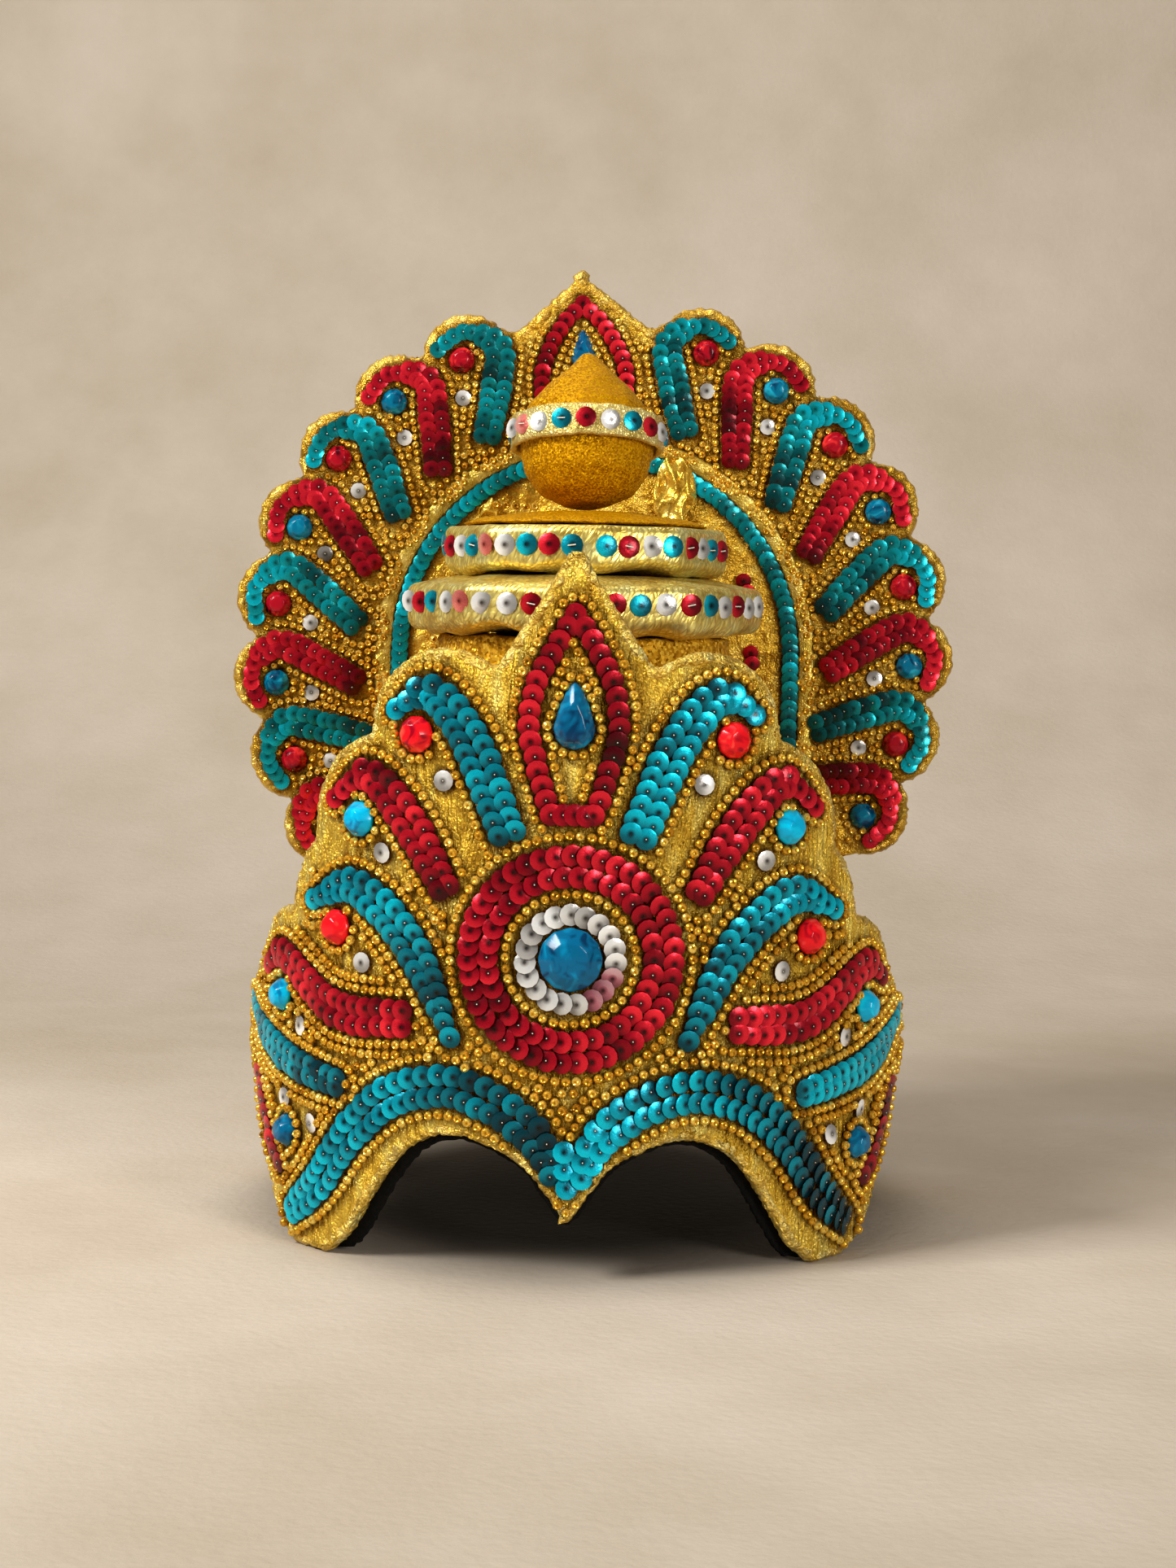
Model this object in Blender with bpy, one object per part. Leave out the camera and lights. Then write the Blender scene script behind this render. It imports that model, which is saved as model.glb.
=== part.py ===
"""Dance crown: a curved front board with sequin strips and stones, a hollow cap
with two tiers and an onion bulb, and a scalloped disc standing behind.

Sizes here are millimetres and the file is in metres. The floor is z = 0, the
front looks to -Y, and the ring that goes round the head stands about the Z axis
until the last step, which sets the middle of the whole crown on the origin.
The front board is drawn flat and then bent: a place on it is a turn round the
ring in degrees from the middle, and a height as a share of the board's height.
"""
import math
from collections import namedtuple

import bmesh
import bpy
from mathutils import Matrix

MM = 0.001
MERGE_BELOW = 0.002
SHARP_ABOVE_DEG = 35.0

# What the columns of the tables below hold
Place = namedtuple("Place", "turn height")
Lobe = namedtuple("Lobe", "way_turn way_height end_turn end_height")
Strip = namedtuple("Strip", "turn height width")
Stone = namedtuple("Stone", "turn height radius finish")
DiscPlace = namedtuple("DiscPlace", "turn radius")
DiscStrip = namedtuple("DiscStrip", "turn radius width")
Ring = namedtuple("Ring", "radius height")
Finish = namedtuple("Finish", "colour roughness metallic")

# Gaps between pieces that are sewn or set on each other
LAYER_GAP = 0.3
SEAT_GAP = 0.3
CAP_CLEARANCE = 0.7
NOTCH_CLEARANCE = 1.0
BAND_CLEARANCE = 0.6

# Front board and its felt lining
RING_RADIUS = 98.0
BOARD_HEIGHT = 199.4
BOARD_THICK = 5.0
LINING_THICK = 3.0
LINING_TOP = 74.0
LINING_SHOWS = 2.6
LINING_INSET = 3.0
LINING_STEPS = 16
BEND_STEP_DEG = 6.0
SNAP_TO_BEND = 0.04

# Rows of sequins and beads
SEQUIN_ROW = 5.8
SEQUIN_ROW_PAIR = 12.4
BEAD_ROW = 3.0
STRIP_THICK = 1.5
TIP_TURNS_DEG = (-40.0, 0.0, 40.0)
HOOK_STEPS = 4
WAVE_STEPS = 3

# Stones of the front board, and the medallion round the largest
STONE_HEIGHT = 4.0
STONE_RADIUS = 5.2
STONE_SIDES = 10
DROP_STONE_RADIUS = 5.7
DROP_STONE_POINT = 12.6
DROP_SIDES = 12
DROP_NARROWING = 0.42
MEDALLION_STONE_RADIUS = 8.8
MEDALLION_STONE_RIM = 1.6

# Disc behind the cap
HALO_RADIUS = 118.1
HALO_THICK = 5.0
HALO_TO_RIGHT = 1.5
HALO_BELOW_CAP_TOP = 6.1
HALO_TURN_DEG = 2.5
HALO_BEHIND_TIER = 2.4
HALO_FOOT_DEPTH = 68.5
HALO_FOOT_WIDTH = 13.0
LOBES_PER_SIDE = 8
LOBE_DEPTH = 8.53
LOBE_STEP_DEG = 14.3
LOBE_LEAD_DEG = 1.0
LOBE_STEPS = 6
FIRST_STONE_DEG = 22.5
HALO_ROW = 5.4
HALO_STRIP_SINK = 1.0
HALO_STONE_INSET = 14.3
HALO_STONE_RADIUS = 4.3
HALO_STONE_HEIGHT = 3.4
HALO_DROP_RADIUS = 4.0
HALO_DROP_POINT = 9.0
ARC_INSIDE_STRIPS = 12.7
ARC_ABOVE_LAST_STRIP = 4.4
ARC_TO_RIGHT = 1.0
ARC_STEP_DEG = 9.0

# Cap, tiers and bulb
CAP_LAP = 10.0
CAP_HEIGHT = 111.6
CAP_WALL = 2.5
LOWER_TIER_RADIUS = 54.6
LOWER_TIER_HEIGHT = 17.2
UPPER_TIER_RADIUS = 43.4
UPPER_TIER_HEIGHT = 14.3
DOME_INSET = 0.3
DOME_HEIGHT = 5.1
BULB_RADIUS = 20.6
BULB_HEIGHT = 47.6
BULB_LEAN_DEG = 9.0
BAND_WALL = 2.4
BAND_HEIGHT = 10.0
ROUND_SIDES = 32
BULB_SIDES = 22
BAND_SIDES = 26
SMALL_RING_SIDES = 20

# Half of the board's spike, from its tip
SPIKE_EDGE = {
    "tip": Place(0.0, 1.0),
    "tip_side": Place(1.5, 0.989),
    "neck": Place(2.75, 0.966),
    "flank": Place(7.55, 0.902),
    "foot": Place(12.9, 0.834),
}
# Each lobe is an arc from where the last one ended, by the way point
BOARD_LOBES = {
    "lobe_a": Lobe(24.3, 0.859, 35.5, 0.740),
    "lobe_b": Lobe(44.7, 0.697, 48.8, 0.589),
    "lobe_c": Lobe(53.5, 0.547, 55.5, 0.486),
    "lobe_d": Lobe(63.4, 0.468, 70.2, 0.399),
    "lobe_e": Lobe(76.6, 0.373, 82.4, 0.321),
    "lobe_g": Lobe(91.2, 0.318, 99.4, 0.271),
    "lobe_h": Lobe(107.6, 0.263, 115.2, 0.206),
}
# Lower edge of the board's right half
BROW_ARCH = {
    "v_tip": Place(0.0, 0.080),
    "v_flank": Place(2.8, 0.112),
    "haunch": Place(8.2, 0.163),
    "crown": Place(18.7, 0.194),
    "shoulder": Place(27.2, 0.170),
    "leg": Place(33.6, 0.108),
    "heel": Place(39.5, 0.038),
    "foot": Place(45.0, 0.0),
}
EAR_ARCH = {
    "foot": Place(53.8, 0.0),
    "toe": Place(59.0, 0.023),
    "flank": Place(64.9, 0.073),
    "shoulder": Place(71.6, 0.155),
    "haunch": Place(78.9, 0.221),
    "crown": Place(87.1, 0.238),
    "rear_haunch": Place(95.3, 0.201),
    "rear_leg": Place(102.3, 0.090),
    "rear_foot": Place(107.6, 0.0),
}
REAR_END = {
    "foot": Place(115.8, 0.0),
    "heel": Place(117.5, 0.020),
    "top": Place(117.8, 0.160),
}
# The line down the middle of each strip, its width a share of a row pair
FRONT_STRIPS = {
    "hook_a": {
        "foot": Strip(9.9, 0.605, 0.90),
        "stem": Strip(16.4, 0.735, 1.0),
        "crest": Strip(23.4, 0.802, 0.87),
        "tip": Strip(30.2, 0.775, 0.39),
    },
    "hook_b": {
        "foot": Strip(20.0, 0.528, 0.74),
        "stem": Strip(27.4, 0.627, 1.0),
        "crest": Strip(35.4, 0.685, 0.81),
        "tip": Strip(42.9, 0.645, 0.37),
    },
    "hook_c": {
        "foot": Strip(18.7, 0.324, 0.52),
        "stem": Strip(26.4, 0.452, 0.97),
        "crest": Strip(37.7, 0.527, 0.93),
        "tip": Strip(48.6, 0.500, 0.42),
    },
    "hook_d": {
        "foot": Strip(26.8, 0.350, 0.90),
        "stem": Strip(42.1, 0.352, 0.97),
        "crest": Strip(57.3, 0.415, 0.81),
        "tip": Strip(65.0, 0.391, 0.39),
    },
    "band_e": {
        "foot": Strip(40.6, 0.246, 0.68),
        "stem": Strip(53.2, 0.262, 0.84),
        "crest": Strip(64.9, 0.288, 0.81),
        "tip": Strip(76.0, 0.331, 0.39),
    },
    "hook_f": {
        "foot": Strip(58.2, 0.103, 0.42),
        "stem": Strip(62.0, 0.128, 0.55),
        "crest": Strip(66.6, 0.176, 0.61),
        "tip": Strip(71.0, 0.228, 0.42),
    },
    "wave": {
        "v_end": Strip(2.2, 0.140, 0.48),
        "v_flank": Strip(5.0, 0.198, 0.94),
        "rise": Strip(12.3, 0.245, 1.02),
        "top": Strip(21.0, 0.262, 1.02),
        "fall": Strip(30.4, 0.238, 1.02),
        "haunch": Strip(38.8, 0.176, 1.02),
        "leg": Strip(46.2, 0.098, 1.0),
        "end": Strip(54.1, 0.045, 0.74),
    },
}
RED_STRIPS = ("hook_b", "hook_d", "hook_f")
# Left half of the loop round the teardrop stone, mirrored, from its top
SPIKE_LOOP = {
    "apex": Place(0.0, 0.918),
    "shoulder": Place(3.0, 0.869),
    "cheek": Place(6.2, 0.812),
    "waist": Place(7.0, 0.757),
    "taper": Place(5.7, 0.705),
    "neck": Place(4.2, 0.660),
    "corner": Place(3.3, 0.637),
    "sill": Place(0.0, 0.635),
}
MEDALLION_PLACE = Place(0.0, 0.444)
DROP_STONE_PLACE = Place(0.0, 0.757)
# Round stones, the radius a share of STONE_RADIUS
FRONT_STONES = {
    "stone_a": Stone(26.0, 0.743, 1.0, "red_stone"),
    "stone_b": Stone(37.1, 0.622, 0.98, "blue_stone"),
    "stone_c": Stone(42.1, 0.467, 1.0, "red_stone"),
    "stone_d": Stone(58.2, 0.355, 0.92, "blue_stone"),
    "stone_f": Stone(56.1, 0.160, 0.92, "blue_stone"),
}
# Half of the disc's spike, its radius a share of the disc's
HALO_SPIKE_EDGE = {
    "tip": DiscPlace(0.0, 1.046),
    "tip_side": DiscPlace(1.1, 1.021),
    "foot": DiscPlace(11.9, 0.902),
}
# Strip of one lobe: its turn is from the stone that it curls round, its radius
# a share of the disc's and its width a share of two rows
HALO_STRIP = {
    "foot": DiscStrip(2.4, 0.648, 0.89),
    "stem": DiscStrip(-4.3, 0.775, 1.0),
    "bend": DiscStrip(-7.0, 0.876, 0.91),
    "crest": DiscStrip(-2.2, 0.945, 0.59),
    "tip": DiscStrip(4.2, 0.920, 0.35),
}
HALO_LOOP = {
    "foot": DiscPlace(9.4, 0.657),
    "flank": DiscPlace(8.5, 0.775),
    "shoulder": DiscPlace(4.3, 0.887),
    "apex": DiscPlace(0.0, 0.964),
}
HALO_DROP_PLACE = DiscPlace(0.0, 0.809)
# Shares of the notch's half width where its edge follows the cap
NOTCH_SHARES = (0.88, 0.74, 0.58, 0.4, 0.2)
# Turned pieces: radius and height of each ring as shares of the piece's own
CAP_RINGS = {
    "rim": Ring(1.0, 0.0),
    "band": Ring(1.0, 0.143),
    "side": Ring(0.933, 0.332),
    "bulge": Ring(0.843, 0.488),
    "slope": Ring(0.725, 0.632),
    "shoulder": Ring(0.596, 0.753),
    "drum_foot": Ring(0.506, 0.815),
    "drum_top": Ring(0.506, 1.0),
}
LOWER_TIER_RINGS = {
    "under": Ring(0.86, 0.0),
    "foot": Ring(0.978, 0.023),
    "side_low": Ring(1.0, 0.116),
    "side_high": Ring(1.0, 0.733),
    "rim": Ring(0.974, 0.826),
    "top": Ring(0.70, 1.0),
}
UPPER_TIER_RINGS = {
    "under": Ring(0.92, 0.0),
    "foot": Ring(0.972, 0.077),
    "side_low": Ring(1.0, 0.175),
    "side_high": Ring(1.0, 0.874),
    "rim": Ring(0.968, 0.986),
    "top": Ring(0.92, 1.0),
}
DOME_RINGS = {
    "foot": Ring(1.0, 0.0),
    "haunch": Ring(0.833, 0.45),
    "crown": Ring(0.505, 0.84),
    "flat": Ring(0.23, 1.0),
}
BULB_RINGS = {
    "base": Ring(0.34, 0.0),
    "belly_low": Ring(0.704, 0.076),
    "belly": Ring(0.922, 0.202),
    "waist": Ring(1.0, 0.357),
    "band_line": Ring(1.0, 0.504),
    "shoulder": Ring(0.903, 0.639),
    "cone": Ring(0.602, 0.786),
    "neck": Ring(0.272, 0.916),
    "tip": Ring(0.097, 1.0),
}
BAND_MIDDLE_SHARE = 0.462
# Cut stone: its back, its girdle and its table
STONE_RINGS = {
    "back": Ring(1.0, 0.0),
    "girdle": Ring(1.0, 0.24),
    "table": Ring(0.56, 1.0),
}
FINISHES = {
    "gold_foil": Finish((0.80, 0.52, 0.11), 0.30, 1.0),
    "gold_glitter": Finish((0.62, 0.36, 0.04), 0.45, 0.9),
    "black_felt": Finish((0.012, 0.012, 0.013), 0.95, 0.0),
    "teal_sequins": Finish((0.0, 0.26, 0.36), 0.22, 0.6),
    "red_sequins": Finish((0.42, 0.012, 0.03), 0.22, 0.6),
    "clear_sequins": Finish((0.78, 0.78, 0.76), 0.20, 0.2),
    "blue_stone": Finish((0.0, 0.12, 0.35), 0.08, 0.0),
    "red_stone": Finish((0.60, 0.01, 0.02), 0.08, 0.0),
}


def clear_scene():
    for item in list(bpy.data.objects):
        bpy.data.objects.remove(item, do_unlink=True)


def make_finish(name):
    finish = FINISHES[name]
    material = bpy.data.materials.new(name)
    material.use_nodes = True
    shader = material.node_tree.nodes["Principled BSDF"]
    shader.inputs["Base Color"].default_value = (*finish.colour, 1.0)
    shader.inputs["Roughness"].default_value = finish.roughness
    shader.inputs["Metallic"].default_value = finish.metallic
    return material


def smooth_shading(mesh):
    mesh.shade_smooth()
    mesh.set_sharp_from_angle(angle=math.radians(SHARP_ABOVE_DEG))


def place_in_metres(place):
    """The same placement with its move in metres."""
    return Matrix.Translation(place.to_translation() * MM) @ place.to_3x3().to_4x4()


def put_in_scene(bm, name, finish, place=Matrix.Identity(4), parent=None):
    """Turns a finished millimetre mesh into one named object in metres."""
    bmesh.ops.remove_doubles(bm, verts=bm.verts, dist=MERGE_BELOW)
    bmesh.ops.recalc_face_normals(bm, faces=bm.faces)
    bmesh.ops.triangulate(bm, faces=bm.faces)
    bmesh.ops.scale(bm, vec=(MM, MM, MM), verts=bm.verts)
    mesh = bpy.data.meshes.new(name)
    bm.to_mesh(mesh)
    bm.free()
    smooth_shading(mesh)
    mesh.materials.append(bpy.data.materials.get(finish) or make_finish(finish))
    item = bpy.data.objects.new(name, mesh)
    item.matrix_basis = place_in_metres(place)
    item.parent = parent
    bpy.context.scene.collection.objects.link(item)
    return item


def add_empty(name, place):
    """An empty that carries the pieces of one group."""
    empty = bpy.data.objects.new(name, None)
    empty.matrix_basis = place_in_metres(place)
    bpy.context.scene.collection.objects.link(empty)
    return empty


def mirrored(points):
    """The same outline on the left side, still turning the same way."""
    return [(-x, y) for x, y in reversed(points)]


def both_halves(right):
    """Whole outline of a right half that starts and ends in the middle."""
    return right + mirrored([point for point in right if point[0] > 0.0])


def arc_through(start, way, end, steps):
    """Points of the circle arc from start by way to end, without the end."""
    ax, ay = start
    bx, by = way
    cx, cy = end
    d = 2.0 * (ax * (by - cy) + bx * (cy - ay) + cx * (ay - by))
    a2 = ax * ax + ay * ay
    b2 = bx * bx + by * by
    c2 = cx * cx + cy * cy
    ox = (a2 * (by - cy) + b2 * (cy - ay) + c2 * (ay - by)) / d
    oy = (a2 * (cx - bx) + b2 * (ax - cx) + c2 * (bx - ax)) / d
    radius = math.hypot(ax - ox, ay - oy)
    first = math.atan2(ay - oy, ax - ox)
    middle = math.atan2(by - oy, bx - ox)
    last = math.atan2(cy - oy, cx - ox)
    sweep = (last - first) % math.tau
    if (middle - first) % math.tau > sweep:
        sweep -= math.tau
    turns = [first + sweep * i / steps for i in range(steps)]
    return [(ox + radius * math.cos(a), oy + radius * math.sin(a)) for a in turns]


def smooth_line(rows, steps):
    """A smooth line through the rows, each of their numbers carried along."""
    before = tuple(2 * a - b for a, b in zip(rows[0], rows[1]))
    after = tuple(2 * a - b for a, b in zip(rows[-1], rows[-2]))
    ends = [before] + rows + [after]
    line = []
    for i in range(1, len(ends) - 2):
        for k in range(steps):
            t = k / steps
            line.append(tuple(
                0.5 * (2 * b + (c - a) * t
                       + (2 * a - 5 * b + 4 * c - d) * t * t
                       + (3 * b - a - 3 * c + d) * t * t * t)
                for a, b, c, d in zip(ends[i - 1], ends[i], ends[i + 1], ends[i + 2])))
    line.append(rows[-1])
    return line


def sideways(line, i):
    """Unit vector across the line at its point i, to the left."""
    x0, y0 = line[max(i - 1, 0)][:2]
    x1, y1 = line[min(i + 1, len(line) - 1)][:2]
    length = math.hypot(x1 - x0, y1 - y0)
    return -(y1 - y0) / length, (x1 - x0) / length


def strip_outline(line):
    """Outline of a strip with a square foot and a rounded tip."""
    left = []
    right = []
    for i, (x, y, half) in enumerate(line):
        nx, ny = sideways(line, i)
        left.append((x + nx * half, y + ny * half))
        right.append((x - nx * half, y - ny * half))
    x, y, half = line[-1]
    heading = math.atan2(y - line[-2][1], x - line[-2][0])
    turns = [heading + math.radians(turn) for turn in TIP_TURNS_DEG]
    tip = [(x + half * math.cos(a), y + half * math.sin(a)) for a in turns]
    return right + tip + list(reversed(left))


def circle(radius, sides, x=0.0, y=0.0):
    turns = [math.tau * i / sides for i in range(sides)]
    return [(x + radius * math.cos(a), y + radius * math.sin(a)) for a in turns]


def add_slab(bm, outline, low, high):
    """Adds a flat solid: the outline in x and y, its thickness from low to high."""
    under = [bm.verts.new((x, y, low)) for x, y in outline]
    over = [bm.verts.new((x, y, high)) for x, y in outline]
    bm.faces.new(list(reversed(under)))
    bm.faces.new(over)
    count = len(outline)
    for i in range(count):
        j = (i + 1) % count
        bm.faces.new((under[i], under[j], over[j], over[i]))


def slab(outline, low, high):
    bm = bmesh.new()
    add_slab(bm, outline, low, high)
    return bm


def ring_slab(outer, inner, low, high):
    """Flat ring between two outlines with the same number of points."""
    bm = bmesh.new()
    loops = []
    for outline, height in ((outer, low), (outer, high), (inner, high), (inner, low)):
        loops.append([bm.verts.new((x, y, height)) for x, y in outline])
    count = len(outer)
    for here, there in zip(loops, loops[1:] + loops[:1]):
        for i in range(count):
            j = (i + 1) % count
            bm.faces.new((here[i], here[j], there[j], there[i]))
    return bm


def stacked(outlines):
    """Solid through outlines of the same number of points, each with a height."""
    bm = bmesh.new()
    loops = [[bm.verts.new((x, y, height)) for x, y in outline] for outline, height in outlines]
    bm.faces.new(loops[0])
    bm.faces.new(loops[-1])
    count = len(loops[0])
    for low, top in zip(loops, loops[1:]):
        for i in range(count):
            j = (i + 1) % count
            bm.faces.new((low[i], low[j], top[j], top[i]))
    return bm


def rings_of(shares, radius, height, base=0.0):
    """Radius and height of each ring of a turned piece."""
    return [(radius * ring.radius, base + height * ring.height) for ring in shares.values()]


def turned(rings, sides):
    """Solid of revolution, closed by a face at its first and last ring."""
    return stacked([(circle(radius, sides), height) for radius, height in rings])


def cut_stone(girdle, height, name, finish, place, parent=None):
    """Foil-backed stone with a flat back, a girdle, sloping facets and a table."""
    outlines = []
    for ring in STONE_RINGS.values():
        outline = [(x * ring.radius, y * ring.radius) for x, y in girdle]
        outlines.append((outline, height * ring.height))
    stone = put_in_scene(stacked(outlines), name, finish, place, parent)
    stone.data.shade_flat()


def drop_girdle(radius, point):
    """Teardrop outline: round below, drawn up to a point above."""
    outline = []
    for x, y in circle(radius, DROP_SIDES):
        share = max(y / radius, 0.0)
        outline.append((x * (1.0 - DROP_NARROWING * share), point * share if share else y))
    return outline


def on_flat(place):
    """Flat position on the board of a place with a turn and a height."""
    return RING_RADIUS * math.radians(place.turn), BOARD_HEIGHT * place.height


def bend(bm):
    """Cuts the flat solid at the bend lines and lays it round the ring."""
    step = math.radians(BEND_STEP_DEG) * RING_RADIUS
    reach = max(abs(vert.co.x) for vert in bm.verts)
    count = int(reach / step) + 1
    for i in range(-count, count + 1):
        bmesh.ops.bisect_plane(
            bm, geom=bm.verts[:] + bm.edges[:] + bm.faces[:], dist=SNAP_TO_BEND,
            plane_co=(i * step, 0.0, 0.0), plane_no=(1.0, 0.0, 0.0))
    for vert in bm.verts:
        angle = vert.co.x / RING_RADIUS
        radius = RING_RADIUS + vert.co.z
        vert.co = (radius * math.sin(angle), -radius * math.cos(angle), vert.co.y)
    return bm


def board_top():
    """Upper edge of the board from the tip to the rear end, right half."""
    points = [on_flat(place) for place in SPIKE_EDGE.values()]
    for lobe in BOARD_LOBES.values():
        start = points.pop()
        way = on_flat(Place(lobe.way_turn, lobe.way_height))
        end = on_flat(Place(lobe.end_turn, lobe.end_height))
        points += arc_through(start, way, end, LOBE_STEPS) + [end]
    return points


def board_bottom():
    """Lower edge of the board over the brow and the ear, right half."""
    brow = smooth_line([on_flat(place) for place in BROW_ARCH.values()], 3)
    ear = smooth_line([on_flat(place) for place in EAR_ARCH.values()], 2)
    return brow + ear


def front_panel():
    rear = [on_flat(place) for place in REAR_END.values()]
    outline = both_halves(board_bottom() + rear + list(reversed(board_top())))
    put_in_scene(bend(slab(outline, -BOARD_THICK, 0.0)), "front_panel", "gold_foil")


def height_at(points, x):
    """Height at x of an edge that runs to the right."""
    for (x0, y0), (x1, y1) in zip(points, points[1:]):
        if x0 <= x <= x1 and x1 > x0:
            return y0 + (y1 - y0) * (x - x0) / (x1 - x0)
    return points[-1][1]


def front_lining():
    """Felt behind the board: it shows past the arches and ends below the top."""
    lower = board_bottom()
    edge = [(0.0, lower[0][1] - LINING_SHOWS)]
    for i, (x, y) in enumerate(lower[1:], 1):
        nx, ny = sideways(lower, i)
        edge.append((x - nx * LINING_SHOWS, max(y - ny * LINING_SHOWS, 0.0)))
    upper = board_top()
    end_x = on_flat(REAR_END["foot"])[0] - LINING_INSET
    roof = []
    for i in range(LINING_STEPS + 1):
        x = end_x * (1.0 - i / LINING_STEPS)
        roof.append((x, min(LINING_TOP, height_at(upper, x) - LINING_INSET)))
    outline = both_halves(edge + [(end_x, 0.0)] + roof)
    face = -BOARD_THICK - LAYER_GAP
    put_in_scene(bend(slab(outline, face - LINING_THICK, face)), "front_lining", "black_felt")


def front_strips():
    """The curling strips of the lobes, and the wave over the arches."""
    for name, rows in FRONT_STRIPS.items():
        line = [(*on_flat(row), row.width * SEQUIN_ROW_PAIR / 2) for row in rows.values()]
        steps = WAVE_STEPS if name == "wave" else HOOK_STEPS
        outline = strip_outline(smooth_line(line, steps))
        outline = [(max(x, LAYER_GAP / 2), y) for x, y in outline]
        finish = "red_sequins" if name in RED_STRIPS else "teal_sequins"
        for side, points in (("right", outline), ("left", mirrored(outline))):
            bm = bend(slab(points, LAYER_GAP, LAYER_GAP + STRIP_THICK))
            put_in_scene(bm, name + "_" + side, finish)


def spike_loop():
    """Closed loop of one row of sequins round the teardrop stone."""
    rows = [on_flat(place) for place in SPIKE_LOOP.values()]
    side = rows[:1] + smooth_line(rows[1:-1], 2) + rows[-1:]
    line = [(-x, y) for x, y in side] + list(reversed(side[1:-1]))
    around = line[-1:] + line + line[:1]
    outer = []
    inner = []
    for i, (x, y) in enumerate(line):
        nx, ny = sideways(around, i + 1)
        outer.append((x - nx * SEQUIN_ROW / 2, y - ny * SEQUIN_ROW / 2))
        inner.append((x + nx * SEQUIN_ROW / 2, y + ny * SEQUIN_ROW / 2))
    bm = bend(ring_slab(outer, inner, LAYER_GAP, LAYER_GAP + STRIP_THICK))
    put_in_scene(bm, "spike_loop", "red_sequins")


def medallion():
    """Two rings of sequins round the largest stone."""
    clear_inner = MEDALLION_STONE_RADIUS + MEDALLION_STONE_RIM
    red_inner = clear_inner + SEQUIN_ROW + BEAD_ROW
    rings = (
        ("medallion_ring_clear", clear_inner, SEQUIN_ROW, SMALL_RING_SIDES, "clear_sequins"),
        ("medallion_ring_red", red_inner, SEQUIN_ROW_PAIR, ROUND_SIDES, "red_sequins"),
    )
    x, y = on_flat(MEDALLION_PLACE)
    for name, inner, width, sides, finish in rings:
        bm = ring_slab(circle(inner + width, sides, x, y), circle(inner, sides, x, y),
                       LAYER_GAP, LAYER_GAP + STRIP_THICK)
        put_in_scene(bend(bm), name, finish)


def on_ring(place, side=1.0):
    """Placement of a stone on the front board, side -1 for the left."""
    x, z = on_flat(place)
    angle = side * x / RING_RADIUS
    radius = RING_RADIUS + LAYER_GAP
    spot = Matrix.Translation((radius * math.sin(angle), -radius * math.cos(angle), z))
    upright = Matrix.Rotation(math.radians(90.0), 4, "X")
    return spot @ Matrix.Rotation(angle, 4, "Z") @ upright


def front_stones():
    for name, stone in FRONT_STONES.items():
        girdle = circle(STONE_RADIUS * stone.radius, STONE_SIDES)
        for side, sign in (("_right", 1.0), ("_left", -1.0)):
            cut_stone(girdle, STONE_HEIGHT, name + side, stone.finish, on_ring(stone, sign))
    cut_stone(drop_girdle(DROP_STONE_RADIUS, DROP_STONE_POINT), STONE_HEIGHT,
              "stone_spike", "blue_stone", on_ring(DROP_STONE_PLACE))
    cut_stone(circle(MEDALLION_STONE_RADIUS, DROP_SIDES), STONE_HEIGHT,
              "stone_medallion", "blue_stone", on_ring(MEDALLION_PLACE))


def cap_rings():
    """The cap's rim goes up inside the lining, and its drum carries the tiers."""
    rim_radius = RING_RADIUS - BOARD_THICK - LAYER_GAP - LINING_THICK - CAP_CLEARANCE
    return rings_of(CAP_RINGS, rim_radius, CAP_HEIGHT, LINING_TOP - CAP_LAP)


def cap_top_z():
    return cap_rings()[-1][1]


def cap():
    """Hollow cap: up the inside from the rim, then the roof and the outside."""
    outside = cap_rings()
    inside = []
    for i, (radius, height) in enumerate(outside[:-1]):
        nx, ny = sideways(outside, i)
        inside.append((radius + CAP_WALL * nx, height + CAP_WALL * ny))
    inside[0] = (inside[0][0], outside[0][1])
    inside.append((outside[-1][0] - CAP_WALL, outside[-1][1] - CAP_WALL))
    put_in_scene(turned(list(reversed(inside)) + outside, ROUND_SIDES), "cap", "gold_glitter")


def tiers():
    """The stack on the cap, each piece on the one below; returns its top."""
    dome_radius = UPPER_TIER_RADIUS * UPPER_TIER_RINGS["top"].radius - DOME_INSET
    stack = (
        ("tier_lower", LOWER_TIER_RINGS, LOWER_TIER_RADIUS, LOWER_TIER_HEIGHT, "gold_foil"),
        ("tier_upper", UPPER_TIER_RINGS, UPPER_TIER_RADIUS, UPPER_TIER_HEIGHT, "gold_foil"),
        ("tier_dome", DOME_RINGS, dome_radius, DOME_HEIGHT, "gold_glitter"),
    )
    top = cap_top_z()
    for name, shares, radius, height, finish in stack:
        rings = rings_of(shares, radius, height, top + SEAT_GAP)
        put_in_scene(turned(rings, ROUND_SIDES), name, finish)
        top = rings[-1][1]
    return top


def bulb(seat_z):
    """Onion bulb that leans back a little, with a foil band round it."""
    lean = math.radians(BULB_LEAN_DEG)
    foot = BULB_RADIUS * BULB_RINGS["base"].radius
    lift = Matrix.Translation((0.0, 0.0, seat_z + SEAT_GAP + foot * math.sin(lean)))
    axis = add_empty("bulb_axis", lift @ Matrix.Rotation(-lean, 4, "X"))
    rings = rings_of(BULB_RINGS, BULB_RADIUS, BULB_HEIGHT)
    put_in_scene(turned(rings, BULB_SIDES), "bulb", "gold_glitter", parent=axis)
    middle = BULB_HEIGHT * BAND_MIDDLE_SHARE
    inner = BULB_RADIUS + BAND_CLEARANCE
    band = ring_slab(circle(inner + BAND_WALL, BAND_SIDES), circle(inner, BAND_SIDES),
                     middle - BAND_HEIGHT / 2, middle + BAND_HEIGHT / 2)
    put_in_scene(band, "bulb_band", "gold_foil", parent=axis)


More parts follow.
